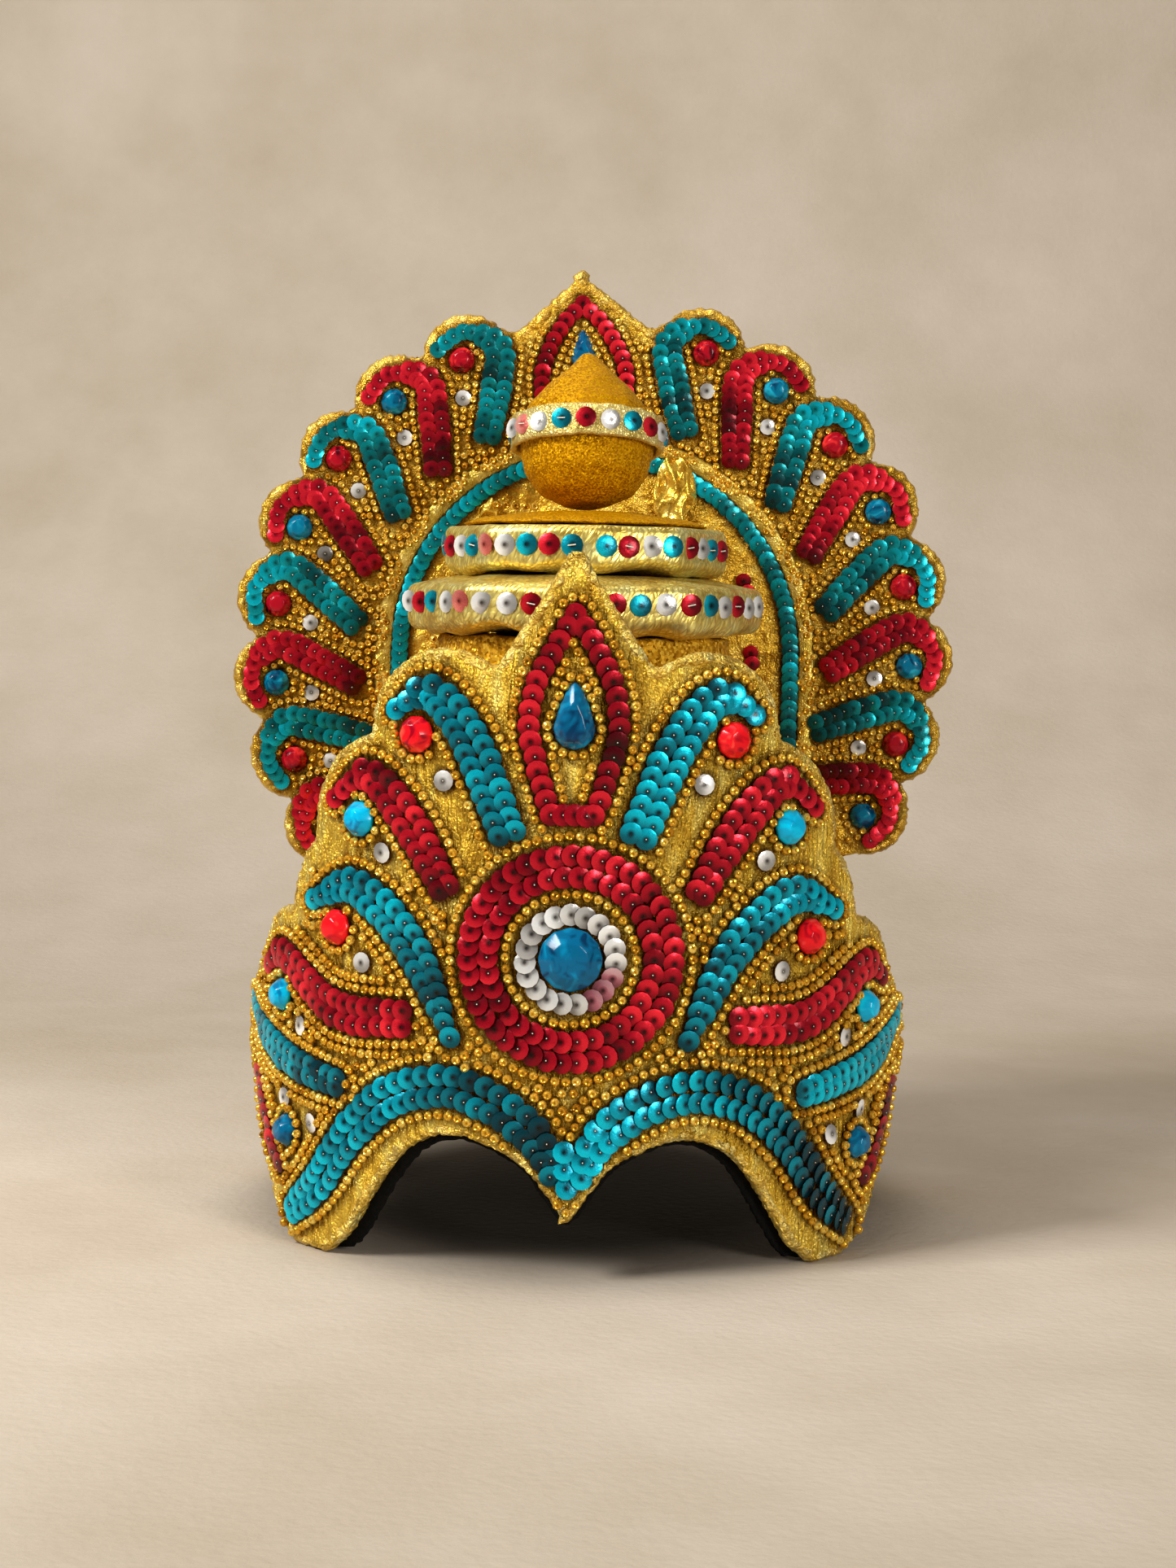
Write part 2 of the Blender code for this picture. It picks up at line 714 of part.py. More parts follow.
def halo_front_y():
    """The disc stands just behind the lower tier."""
    return LOWER_TIER_RADIUS + HALO_BEHIND_TIER


def halo_middle_z():
    return cap_top_z() - HALO_BELOW_CAP_TOP


def halo_axis():
    """Empty in the middle of the disc's front face, X right and Y up the disc."""
    spot = Matrix.Translation((HALO_TO_RIGHT, halo_front_y(), halo_middle_z()))
    turn = Matrix.Rotation(math.radians(-HALO_TURN_DEG), 4, "Y")
    return add_empty("halo_axis", spot @ turn @ Matrix.Rotation(math.radians(90.0), 4, "X"))


def on_disc(turn_deg, share):
    """Point of the disc at a turn from its top, its radius a share of the disc's."""
    angle = math.radians(turn_deg)
    radius = HALO_RADIUS * share
    return radius * math.sin(angle), radius * math.cos(angle)


def upright_on_disc(points):
    """Points about the disc's middle that stay upright though the disc is turned."""
    turn = math.radians(HALO_TURN_DEG)
    return [(x * math.cos(turn) + z * math.sin(turn), z * math.cos(turn) - x * math.sin(turn))
            for x, z in points]


def stone_turn(number):
    return FIRST_STONE_DEG + LOBE_STEP_DEG * number


def halo_edge():
    """Edge of the disc from its spike to its last lobe, right half."""
    points = [on_disc(*place) for place in HALO_SPIKE_EDGE.values()]
    share = 1.0 - LOBE_DEPTH / HALO_RADIUS
    for number in range(LOBES_PER_SIDE):
        middle = stone_turn(number) - LOBE_LEAD_DEG
        end = on_disc(middle + LOBE_STEP_DEG / 2, share)
        points += arc_through(on_disc(middle - LOBE_STEP_DEG / 2, share),
                              on_disc(middle, 1.0), end, LOBE_STEPS)
    return points + [end]


def cap_height(radius):
    """Height at which the cap's outside has this radius."""
    rings = cap_rings()
    for (r0, z0), (r1, z1) in zip(rings, rings[1:]):
        if r1 <= radius <= r0 and r1 < r0:
            return z0 + (z1 - z0) * (r0 - radius) / (r0 - r1)
    return rings[-1][1]


def cap_reach(height):
    """Half the cap's width at this height, in the plane of the disc's front."""
    rings = cap_rings()
    for (r0, z0), (r1, z1) in zip(rings, rings[1:]):
        if z0 <= height <= z1:
            radius = r0 + (r1 - r0) * (height - z0) / (z1 - z0)
            return math.sqrt(radius ** 2 - halo_front_y() ** 2)
    return 0.0


def cap_notch():
    """Foot of the disc and the notch where it straddles the cap."""
    foot_z = halo_middle_z() - HALO_FOOT_DEPTH
    reach = cap_reach(foot_z)
    inner = reach + NOTCH_CLEARANCE
    right = [(inner + HALO_FOOT_WIDTH, foot_z), (inner, foot_z)]
    for share in NOTCH_SHARES:
        z = cap_height(math.hypot(reach * share, halo_front_y()))
        right.append((reach * share + NOTCH_CLEARANCE, z + NOTCH_CLEARANCE))
    right.append((0.0, cap_height(halo_front_y()) + NOTCH_CLEARANCE))
    points = both_halves(right)
    return upright_on_disc([(x - HALO_TO_RIGHT, z - halo_middle_z()) for x, z in points])


def halo_strips(axis):
    """All the strips of the disc as slabs that sink a little into it."""
    bm = bmesh.new()
    for number in range(LOBES_PER_SIDE):
        line = [(*on_disc(stone_turn(number) + row.turn, row.radius), row.width * HALO_ROW)
                for row in HALO_STRIP.values()]
        outline = strip_outline(smooth_line(line, 3))
        add_slab(bm, outline, -HALO_STRIP_SINK, STRIP_THICK)
        add_slab(bm, mirrored(outline), -HALO_STRIP_SINK, STRIP_THICK)
    return put_in_scene(bm, "halo_strips", "gold_foil", parent=axis)


def halo(axis):
    """The disc with its strips raised on the front, one body."""
    right = halo_edge()
    left = mirrored([point for point in right if point[0] > 0.0])
    outline = list(reversed(left + right + cap_notch()))
    plate = put_in_scene(slab(outline, -HALO_THICK, 0.0), "halo", "gold_foil", parent=axis)
    strips = halo_strips(axis)
    union = plate.modifiers.new("strips", "BOOLEAN")
    union.operation = "UNION"
    union.solver = "EXACT"
    union.object = strips
    depsgraph = bpy.context.evaluated_depsgraph_get()
    plate.data = bpy.data.meshes.new_from_object(plate.evaluated_get(depsgraph))
    plate.modifiers.clear()
    bpy.data.objects.remove(strips, do_unlink=True)
    smooth_shading(plate.data)


def last_strip_corner():
    """Height of the upper corner of the last strip's foot, below the middle."""
    foot = HALO_STRIP["foot"]
    turn = stone_turn(LOBES_PER_SIDE - 1) + foot.turn
    return on_disc(turn, foot.radius)[1] + foot.width * HALO_ROW * math.sin(math.radians(turn))


def halo_arc(axis):
    """Arch of one row of sequins with straight legs, inside the strips' feet."""
    middle = HALO_RADIUS * HALO_STRIP["foot"].radius - ARC_INSIDE_STRIPS
    end_z = last_strip_corner() + ARC_ABOVE_LAST_STRIP
    steps = round(180.0 / ARC_STEP_DEG)
    turns = [math.radians(180.0 * i / steps) for i in range(steps + 1)]
    sides = []
    for radius in (middle + SEQUIN_ROW / 2, middle - SEQUIN_ROW / 2):
        arch = [(radius * math.cos(a), radius * math.sin(a)) for a in turns]
        sides.append([(radius, end_z)] + arch + [(-radius, end_z)])
    outline = [(x + ARC_TO_RIGHT, z) for x, z in sides[0] + list(reversed(sides[1]))]
    bm = slab(upright_on_disc(outline), LAYER_GAP, LAYER_GAP + STRIP_THICK)
    put_in_scene(bm, "halo_arc", "teal_sequins", parent=axis)


def halo_spike_loop(axis):
    rows = [(*on_disc(*place), HALO_ROW / 2) for place in HALO_LOOP.values()]
    right = smooth_line(rows, 3)
    line = right + [(-x, z, half) for x, z, half in reversed(right[:-1])]
    bm = slab(strip_outline(line), LAYER_GAP, LAYER_GAP + STRIP_THICK)
    put_in_scene(bm, "halo_spike_loop", "red_sequins", parent=axis)


def halo_stones(axis):
    drop = Matrix.Translation((*on_disc(*HALO_DROP_PLACE), LAYER_GAP))
    cut_stone(drop_girdle(HALO_DROP_RADIUS, HALO_DROP_POINT), HALO_STONE_HEIGHT,
              "halo_stone_spike", "blue_stone", drop, axis)
    girdle = circle(HALO_STONE_RADIUS, STONE_SIDES)
    share = 1.0 - HALO_STONE_INSET / HALO_RADIUS
    for number in range(LOBES_PER_SIDE):
        x, z = on_disc(stone_turn(number), share)
        finish = "blue_stone" if number % 2 else "red_stone"
        for side, sign in (("right", 1.0), ("left", -1.0)):
            cut_stone(girdle, HALO_STONE_HEIGHT, "halo_stone_%d_%s" % (number + 1, side), finish,
                      Matrix.Translation((sign * x, z, LAYER_GAP)), axis)


def set_on_origin():
    """Carries the whole crown so that its box stands on the origin."""
    bpy.context.view_layer.update()
    items = [item for item in bpy.data.objects if item.type == "MESH"]
    corners = [item.matrix_world @ vert.co for item in items for vert in item.data.vertices]
    low = [min(corner[axis] for corner in corners) for axis in range(3)]
    high = [max(corner[axis] for corner in corners) for axis in range(3)]
    crown = add_empty("crown_middle", Matrix.Identity(4))
    for item in bpy.data.objects:
        if item.parent is None and item is not crown:
            item.parent = crown
    crown.location = (-(low[0] + high[0]) / 2, -(low[1] + high[1]) / 2, -low[2])


clear_scene()
front_panel()
front_lining()
front_strips()
spike_loop()
medallion()
front_stones()
cap()
bulb(tiers())
disc = halo_axis()
halo(disc)
halo_arc(disc)
halo_spike_loop(disc)
halo_stones(disc)
set_on_origin()
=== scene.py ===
"""Dance crown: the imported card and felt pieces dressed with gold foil, glitter
cloth, sewn sequins, gold beads and cut stones, on a plain studio floor.

Sizes are millimetres and the scene is in metres. The front board is drawn flat,
x along the board and y up, and laid round the head ring; the disc behind is
drawn flat about its middle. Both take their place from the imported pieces.
"""
import cmath
import math
import random
import bmesh
import bpy
import numpy as np
from mathutils import Matrix, Vector, noise


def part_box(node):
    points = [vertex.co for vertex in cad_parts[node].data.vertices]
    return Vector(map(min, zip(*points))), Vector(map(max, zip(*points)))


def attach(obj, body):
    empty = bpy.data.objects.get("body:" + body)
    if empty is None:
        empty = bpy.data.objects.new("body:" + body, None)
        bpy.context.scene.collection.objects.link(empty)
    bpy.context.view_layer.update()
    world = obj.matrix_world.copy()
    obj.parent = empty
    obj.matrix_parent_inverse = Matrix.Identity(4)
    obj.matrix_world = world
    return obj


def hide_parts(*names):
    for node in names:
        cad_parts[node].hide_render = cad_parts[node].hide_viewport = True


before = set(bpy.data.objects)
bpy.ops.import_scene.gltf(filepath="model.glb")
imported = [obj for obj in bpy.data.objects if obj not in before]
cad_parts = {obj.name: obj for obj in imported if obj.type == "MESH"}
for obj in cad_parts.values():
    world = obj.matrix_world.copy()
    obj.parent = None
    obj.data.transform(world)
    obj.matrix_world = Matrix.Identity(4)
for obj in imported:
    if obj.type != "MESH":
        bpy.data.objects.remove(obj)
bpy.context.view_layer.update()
bpy.context.scene.view_settings.view_transform = "Standard"

# Front board: stiff card covered with gold foil cloth and bent round the head
# ring. The foil is brushed upright where it shows between the rows, and turned
# over the card's edge in a soft pleated roll.
MM = 0.001
RING_RADIUS = 98
BOARD_HEIGHT = 199.4
ROLL_RADIUS = 2.5
ROLL_INSET = 1.5
ROLL_SINK = 2.2
ROLL_STEP = 0.8
# Half of the spike's edge, then the lobes by way point and end, then the arches:
# turn round the ring in degrees and share of the board's height
SPIKE_EDGE = ((0, 1), (1.5, 0.989), (2.75, 0.966), (7.55, 0.902), (12.9, 0.834))
BOARD_LOBES = (
    (24.3, 0.859, 35.5, 0.740),
    (44.7, 0.697, 48.8, 0.589),
    (53.5, 0.547, 55.5, 0.486),
    (63.4, 0.468, 70.2, 0.399),
    (76.6, 0.373, 82.4, 0.321),
    (91.2, 0.318, 99.4, 0.271),
    (107.6, 0.263, 115.2, 0.206),
)
BROW_ARCH = ((0, 0.080), (2.8, 0.112), (8.2, 0.163), (18.7, 0.194), (27.2, 0.170),
             (33.6, 0.108), (39.5, 0.038), (45, 0))
EAR_ARCH = ((53.8, 0), (59, 0.023), (64.9, 0.073), (71.6, 0.155), (78.9, 0.221),
            (87.1, 0.238), (95.3, 0.201), (102.3, 0.090), (107.6, 0))
REAR_END = ((115.8, 0), (117.5, 0.020), (117.8, 0.160))

tier_low, tier_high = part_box("tier_lower")
ring_axis = Vector(((tier_low[0] + tier_high[0]) / 2, (tier_low[1] + tier_high[1]) / 2, 0))


def moved(x, y, z):
    return Matrix.Translation(Vector((x, y, z)) * MM)


def round_wall(radius, axis=Matrix.Identity(4)):
    """Placement on a round wall: X runs along it, Y up it and Z out of it."""
    def place(x, y, lift):
        angle = x / radius
        out = Vector((math.sin(angle), -math.cos(angle), 0))
        along = Vector((math.cos(angle), math.sin(angle), 0))
        spot = out * (radius + lift) + Vector((0, 0, y))
        facing = Matrix((along, Vector((0, 0, 1)), out)).transposed().to_4x4()
        return Matrix.Translation(ring_axis) @ axis @ moved(*spot) @ facing
    return place


def flat(turn, height):
    return RING_RADIUS * math.radians(turn), BOARD_HEIGHT * height


def other_side(line):
    """The same points on the left side."""
    return [(-point[0],) + tuple(point[1:]) for point in line]


def arc_through(start, way, end, steps):
    """Points of the circle arc from start by way to end, without the end."""
    a, b, c = (complex(*point) for point in (start, way, end))
    ratio = (c - a) / (b - a)
    middle = a + (b - a) * (ratio - abs(ratio) ** 2) / (2j * ratio.imag)
    sweep = cmath.phase((c - middle) / (a - middle)) % math.tau
    if cmath.phase((b - middle) / (a - middle)) % math.tau > sweep:
        sweep -= math.tau
    points = [middle + (a - middle) * cmath.exp(1j * sweep * i / steps) for i in range(steps)]
    return [(point.real, point.imag) for point in points]


def smooth_line(rows, steps=8):
    """A smooth line through the rows, each of their numbers carried along."""
    rows = [tuple(row) for row in rows]
    before = tuple(2 * a - b for a, b in zip(rows[0], rows[1]))
    after = tuple(2 * a - b for a, b in zip(rows[-1], rows[-2]))
    ends = [before] + rows + [after]
    line = []
    for i in range(1, len(ends) - 2):
        for k in range(steps):
            t = k / steps
            line.append(tuple(
                0.5 * (2 * b + (c - a) * t
                       + (2 * a - 5 * b + 4 * c - d) * t * t
                       + (3 * b - a - 3 * c + d) * t * t * t)
                for a, b, c, d in zip(ends[i - 1], ends[i], ends[i + 1], ends[i + 2])))
    line.append(rows[-1])
    return line


def walk(line, pitch, closed=False):
    """Evenly spaced marks along a line: x, y, half width and heading of each."""
    points = np.array([tuple(point) + (0,) * (3 - len(point)) for point in line])
    if closed:
        points = np.vstack([points, points[:1]])
    travelled = np.concatenate([[0], np.cumsum(np.hypot(*np.diff(points[:, :2], axis=0).T))])
    length = travelled[-1]
    at = np.linspace(0, length, max(round(length / pitch), 1) + 1)
    if closed:
        at = at[:-1]
    x, y, half = (np.interp(at, travelled, points[:, column]) for column in range(3))
    ahead = np.minimum(at + 0.4, length)
    behind = np.maximum(at - 0.4, 0)
    dx, dy = (np.interp(ahead, travelled, points[:, column])
              - np.interp(behind, travelled, points[:, column]) for column in range(2))
    return list(zip(x.tolist(), y.tolist(), half.tolist(), np.arctan2(dy, dx).tolist()))


def beside(marks, distance):
    """The line at a distance to the left of the marks."""
    return [(x - math.sin(heading) * distance, y + math.cos(heading) * distance)
            for x, y, half, heading in marks]


on_board = round_wall(RING_RADIUS)
board_top = [flat(*place) for place in SPIKE_EDGE]
for way_turn, way_height, end_turn, end_height in BOARD_LOBES:
    start = board_top.pop()
    end = flat(end_turn, end_height)
    board_top += arc_through(start, flat(way_turn, way_height), end, 10) + [end]
board_half = smooth_line([flat(*place) for place in BROW_ARCH], 5)
board_half += smooth_line([flat(*place) for place in EAR_ARCH], 4)
board_half += [flat(*place) for place in REAR_END] + board_top[::-1]
board_edge = board_half + other_side([point for point in board_half if point[0] > 0][::-1])


def add_object(name, data):
    item = bpy.data.objects.new(name, data)
    bpy.context.scene.collection.objects.link(item)
    return item


def only(item):
    """Deselects everything else and makes this object the active one."""
    bpy.ops.object.select_all(action="DESELECT")
    item.select_set(True)
    bpy.context.view_layer.objects.active = item


def mend():
    """Merges doubled points of the active object and turns its faces outward."""
    bpy.ops.object.mode_set(mode="EDIT")
    bpy.ops.mesh.select_all(action="SELECT")
    bpy.ops.mesh.remove_doubles(threshold=0.00001)
    bpy.ops.mesh.normals_make_consistent(inside=False)
    bpy.ops.object.mode_set(mode="OBJECT")


def own_copy(node, name):
    """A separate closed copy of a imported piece, to be finished as cloth."""
    only(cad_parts[node])
    bpy.ops.object.duplicate()
    piece = bpy.context.object
    piece.name = name
    piece.data = piece.data.copy()
    piece.data.materials.clear()
    mend()
    return piece


def apply_modifier(piece, kind, **settings):
    only(piece)
    modifier = piece.modifiers.new(kind.lower(), kind)
    for key, value in settings.items():
        setattr(modifier, key, value)
    bpy.ops.object.modifier_apply(modifier=modifier.name)


def crinkle(piece, lump, depth, seed=0, stretch=(1, 1, 1)):
    """Draws the cloth down between soft ridges; lump and depth in millimetres."""
    mesh = piece.data
    normals = [vert.normal.copy() for vert in mesh.vertices]
    offset = Vector((seed, seed * 1.7, seed * 0.6))
    for vert, normal in zip(mesh.vertices, normals):
        spot = Vector([a * b / (lump * MM) for a, b in zip(vert.co, stretch)]) + offset
        vert.co -= normal * min(abs(noise.noise(spot)) * 2.2, 1) * depth * MM
    mesh.update()


def declare(piece, material, node=None):
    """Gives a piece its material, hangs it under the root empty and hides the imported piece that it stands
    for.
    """
    piece.data.materials.append(material)
    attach(piece, "root")
    if node:
        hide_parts(node)
    return piece


def clothe(node, name, skin, soften, material):
    """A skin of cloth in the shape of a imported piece, its edges rounded."""
    piece = own_copy(node, name)
    apply_modifier(piece, "REMESH", mode="VOXEL", voxel_size=skin * MM, use_smooth_shade=True)
    apply_modifier(piece, "SMOOTH", factor=0.5, iterations=soften)
    return declare(piece, material, node)


def new_material(name, colour):
    material = bpy.data.materials.new(name)
    material.use_nodes = True
    material.diffuse_color = (*colour, 1)
    return material, material.node_tree, material.node_tree.nodes["Principled BSDF"]


def wire(tree, node, inputs):
    """Gives a node's inputs their values, or links from other nodes' sockets."""
    for key, value in inputs.items():
        if isinstance(value, bpy.types.NodeSocket):
            tree.links.new(value, node.inputs[key])
        else:
            node.inputs[key].default_value = value


def add_node(tree, kind, inputs, **settings):
    node = tree.nodes.new("ShaderNode" + kind)
    for key, value in settings.items():
        setattr(node, key, value)
    wire(tree, node, inputs)
    return node


def object_space(tree, **inputs):
    """The object's own coordinates, moved, turned and stretched."""
    where = add_node(tree, "TexCoord", {}).outputs["Object"]
    placed = add_node(tree, "Mapping", {"Vector": where, **inputs}, vector_type="TEXTURE")
    return placed.outputs["Vector"]


def texture_on(tree, kind, lump, stretch=(1, 1, 1), lean_deg=0, **inputs):
    """A noise or cell texture on the object's own coordinates, lump in mm."""
    spot = object_space(tree, Scale=[1 / share for share in stretch],
                        Rotation=(0, math.radians(lean_deg), 0))
    return add_node(tree, "Tex" + kind, {"Vector": spot, "Scale": 1 / (lump * MM), **inputs})


def noise_on(tree, lump, stretch=(1, 1, 1), **inputs):
    return texture_on(tree, "Noise", lump, stretch, **inputs).outputs["Fac"]


def kept_by_point(tree, name):
    return add_node(tree, "Attribute", {}, attribute_name=name).outputs["Fac"]


def colour_ramp(tree, source, stops):
    ramp = add_node(tree, "ValToRGB", {"Fac": source})
    first, last = ramp.color_ramp.elements
    first.position, first.color = stops[0][0], (*stops[0][1], 1)
    last.position, last.color = stops[-1][0], (*stops[-1][1], 1)
    for position, colour in stops[1:-1]:
        ramp.color_ramp.elements.new(position).color = (*colour, 1)
    return ramp.outputs["Color"]


def ranged(tree, source, low, high, first=0.25, last=0.75, way="LINEAR"):
    """Maps first to last, else the middle of a noise's range, onto low to high."""
    limits = {"Value": source, "From Min": first, "From Max": last, "To Min": low, "To Max": high}
    return add_node(tree, "MapRange", limits, interpolation_type=way).outputs["Result"]


def blended(tree, share, colour, other):
    inputs = {"Factor": share, "A": colour, "B": (*other, 1)}
    return add_node(tree, "Mix", inputs, data_type="RGBA").outputs["Result"]


def tilted(tree, cells, amount):
    """Normals tilted cell by cell, as the facets of crumpled film are."""
    centred = add_node(tree, "VectorMath", {0: cells.outputs["Color"], 1: (0.5, 0.5, 0.5)},
                       operation="SUBTRACT")
    shape = add_node(tree, "NewGeometry", {})
    leaning = add_node(tree, "VectorMath", {0: centred.outputs[0], 1: (amount, amount, amount),
                                            2: shape.outputs["Normal"]}, operation="MULTIPLY_ADD")
    return add_node(tree, "VectorMath", {0: leaning.outputs[0]}, operation="NORMALIZE").outputs[0]


def add_bump(tree, height, depth, strength, **under):
    """Relief of a depth in millimetres, laid over earlier normals if given."""
    inputs = {"Height": height, "Distance": depth * MM, "Strength": strength, **under}
    return add_node(tree, "Bump", inputs).outputs["Normal"]


def foil_material(name, dark, middle, light, grain, crease, grain_lean=0,
                  grain_stretch=(1, 1, 1), crease_stretch=(1, 1, 1),
                  crease_depth=1.2, grain_depth=0.3, facet=5, tilt=0.3, rough=(0.26, 0.46), groove=0.2):
    """Metal film on cloth: streaked tone, gloss rubbed dull in patches, crumple facets, creases
    and grain with painted shade in its grooves. Painted shade darkens it beside sewn pieces."""
    material, tree, shader = new_material(name, middle)
    blotch = noise_on(tree, 7, crease_stretch, Detail=7, Roughness=0.65)
    tone = colour_ramp(tree, blotch, ((0.34, dark), (0.5, middle), (0.66, light)))
    cells = texture_on(tree, "Voronoi", grain, grain_stretch, grain_lean)
    cells.feature = "DISTANCE_TO_EDGE"
    edges = cells.outputs["Distance"]
    # Painted shade in the grain's grooves: the colour darkens toward the cell edges
    sunk = ranged(tree, edges, groove, 0, 0, 0.3)
    grained = blended(tree, sunk, tone, (dark[0] * 0.4, dark[1] * 0.35, dark[2] * 0.3))
    # Painted shade beside sewn pieces, read from the point attribute sewn
    shade_beside_pieces = blended(tree, kept_by_point(tree, "sewn"), grained,
                   (dark[0] * 0.22, dark[1] * 0.16, dark[2] * 0.1))
    gloss = ranged(tree, noise_on(tree, 2.4, Detail=3), *rough)
    crumpled = tilted(tree, texture_on(tree, "Voronoi", facet, crease_stretch), tilt)
    pressed = add_bump(tree, edges, grain_depth, 0.9, Normal=crumpled)
    folds = noise_on(tree, crease, crease_stretch, Detail=4)
    creased = add_bump(tree, folds, crease_depth, 1, Normal=pressed)
    wire(tree, shader, {"Metallic": 0.75, "Specular IOR Level": 0.2, "Base Color": shade_beside_pieces,
                        "Roughness": gloss, "Normal": creased})
    return material


def rolled_edge(name, path, closed, surface, radius, sink, pleat, depth, material, seed,
                across=1, out=1):
    """Cloth turned over an edge: a soft roll drawn in by small pleats. Its width
    across the path and out of the surface are shares of the radius."""
    marks = walk(path, ROLL_STEP, closed)
    seats = [surface(x, y, -sink) @ Matrix.Rotation(heading, 4, "Z") for x, y, half, heading in marks]
    curve = bpy.data.curves.new(name, "CURVE")
    curve.dimensions = "3D"
    curve.bevel_depth = radius * MM
    curve.bevel_resolution = 2
    curve.use_fill_caps = not closed
    spline = curve.splines.new("POLY")
    spline.points.add(len(marks) - 1)
    spline.use_cyclic_u = closed
    for point, seat in zip(spline.points, seats):
        point.co = (*seat.to_translation(), 1)
    roll = add_object(name, curve)
    only(roll)
    bpy.ops.object.convert(target="MESH")
    mesh = roll.data
    sides = len(mesh.vertices) // len(marks)
    normals = [vert.normal.copy() for vert in mesh.vertices]
    for vert, normal in zip(mesh.vertices, normals):
        along = (vert.index // sides) * ROLL_STEP
        side = vert.index % sides
        ridge = abs(noise.noise(Vector((along / pleat, side * 0.12, seed)))) * 2
        soft = noise.noise(Vector((along / 9, side * 0.4, seed + 5)))
        vert.co -= normal * (min(ridge, 1) * depth + soft * 0.5) * MM
        seat = seats[min(vert.index // sides, len(seats) - 1)]
        away = vert.co - seat.to_translation()
        axes = seat.to_3x3()
        vert.co -= axes.col[1] * away.dot(axes.col[1]) * (1 - across)
        vert.co -= axes.col[2] * away.dot(axes.col[2]) * (1 - out)
        vert.co.z = max(vert.co.z, 0)
    mend()
    bpy.ops.object.shade_smooth()
    declare(roll, material)


board_foil = foil_material("board_foil", (0.60, 0.34, 0.025), (0.95, 0.64, 0.07), (1, 0.86, 0.22),
                           1.2, 1.2, crease_stretch=(1, 1, 0.25), crease_depth=2.6, grain_depth=0.7,
                           facet=3, tilt=0.7, rough=(0.24, 0.42))
roll_foil = foil_material("roll_foil", (0.60, 0.36, 0.04), (0.96, 0.66, 0.12), (1, 0.88, 0.32),
                          1.5, 1.8, crease_depth=2, grain_depth=0.7, facet=4, tilt=0.9,
                          rough=(0.28, 0.46), groove=0.4)
front_board = clothe("front_panel", "front_board_foil", 1.15, 4, board_foil)
crinkle(front_board, 8, 0.35, 1)
crinkle(front_board, 3, 0.18, 4, (1, 1, 0.3))
rolled_edge("front_board_roll", beside(walk(board_edge, 1.6, True), ROLL_INSET), True, on_board,
            ROLL_RADIUS, ROLL_SINK, pleat=2.8, depth=0.8, material=roll_foil, seed=2, across=0.8)

# Black felt lining: pressed wool felt glued behind the board, its cut edge
# showing past the arches. The fibres are short and take almost no light.
felt, tree, shader = new_material("wool_felt", (0.012, 0.012, 0.013))
fuzz = noise_on(tree, 0.6, Detail=6, Roughness=0.8)
wire(tree, shader, {
    "Roughness": 0.95, "Specular IOR Level": 0.1, "Normal": add_bump(tree, fuzz, 0.8, 0.9),
    "Base Color": colour_ramp(tree, fuzz, ((0.35, (0.002, 0.002, 0.002)), (0.72, (0.012, 0.011, 0.010)))),
})
lining = clothe("front_lining", "felt_lining", 1.5, 2, felt)
crinkle(lining, 2.2, 0.35, 3)

# Sequins: thin round films, flat in the middle and turned down at the rim, with
# a hole. They are sewn in rows, each over the one before, so that crescents show.
SEQUIN_RADIUS = 3.1
SEQUIN_RINGS = ((2.5, 0.17), (1.5, 0.13), (0.42, 0.05))
SEQUIN_FILM = 0.14
SEQUIN_PITCH = 4.15
SEQUIN_TILT_DEG = 11.5
# How near the edge of a strip its rows lie, as a share, and how far a sequin's painted shade strays
ROW_OUT = 0.93
PATCH_STRAY = 0.55
SHADE_STRAY = 0.15
STITCH_RADIUS = 0.23
STITCH_CHANCE = 0.6
ROW_PAIR = 12.4
PAIR_FROM = 4.2
rng = random.Random(7)
# Film, the painted light of the left and the right strip from end to end, as the film
# takes the light, and turn, share of the board's height and width as a share of two rows
HOOKS = {
    "hook_a": ("teal", (0.45, 0.5), (0.7, 0.75),
               ((9.9, 0.605, 0.90), (16.4, 0.735, 1), (23.4, 0.802, 0.87), (30.2, 0.775, 0.39))),
    "hook_b": ("red", (0.6, 0.5), (0.65, 0.6),
               ((20, 0.528, 0.74), (27.4, 0.627, 1), (35.4, 0.685, 0.81), (42.9, 0.645, 0.37))),
    "hook_c": ("teal", (0.85, 0.25), (0.3, 1),
               ((18.7, 0.324, 0.52), (26.4, 0.452, 0.97), (37.7, 0.527, 0.93), (48.6, 0.500, 0.42))),
    "hook_d": ("red", (0.75, 0.6), (0.75, 0.8),
               ((26.8, 0.350, 0.90), (42.1, 0.352, 0.97), (57.3, 0.415, 0.81), (65, 0.391, 0.39))),
    "band_e": ("teal", (0.8, 0.2), (1, 0.95),
               ((40.6, 0.246, 0.68), (53.2, 0.262, 0.84), (64.9, 0.288, 0.81), (76, 0.331, 0.39))),
    "hook_f": ("red", (0.5, 0.5), (0.2, 0.5),
               ((58.2, 0.103, 0.42), (62, 0.128, 0.55), (66.6, 0.176, 0.61), (71, 0.228, 0.42))),
    "wave": ("teal", (0.95, 0.08), (1.35, -0.2),
             ((54.1, 0.045, 0.74), (46.2, 0.098, 1), (38.8, 0.176, 1.02), (30.4, 0.238, 1.02),
              (21, 0.262, 1.02), (12.3, 0.245, 1.02), (5, 0.198, 0.94), (2.2, 0.140, 0.48))),
}
# Where the two waves meet, three more sequins run up the middle
WAVE_MEETING = [(-1, 36.2, 0.8), (-0.6, 31.2, 0.8), (0.2, 26.4, 0.8)]


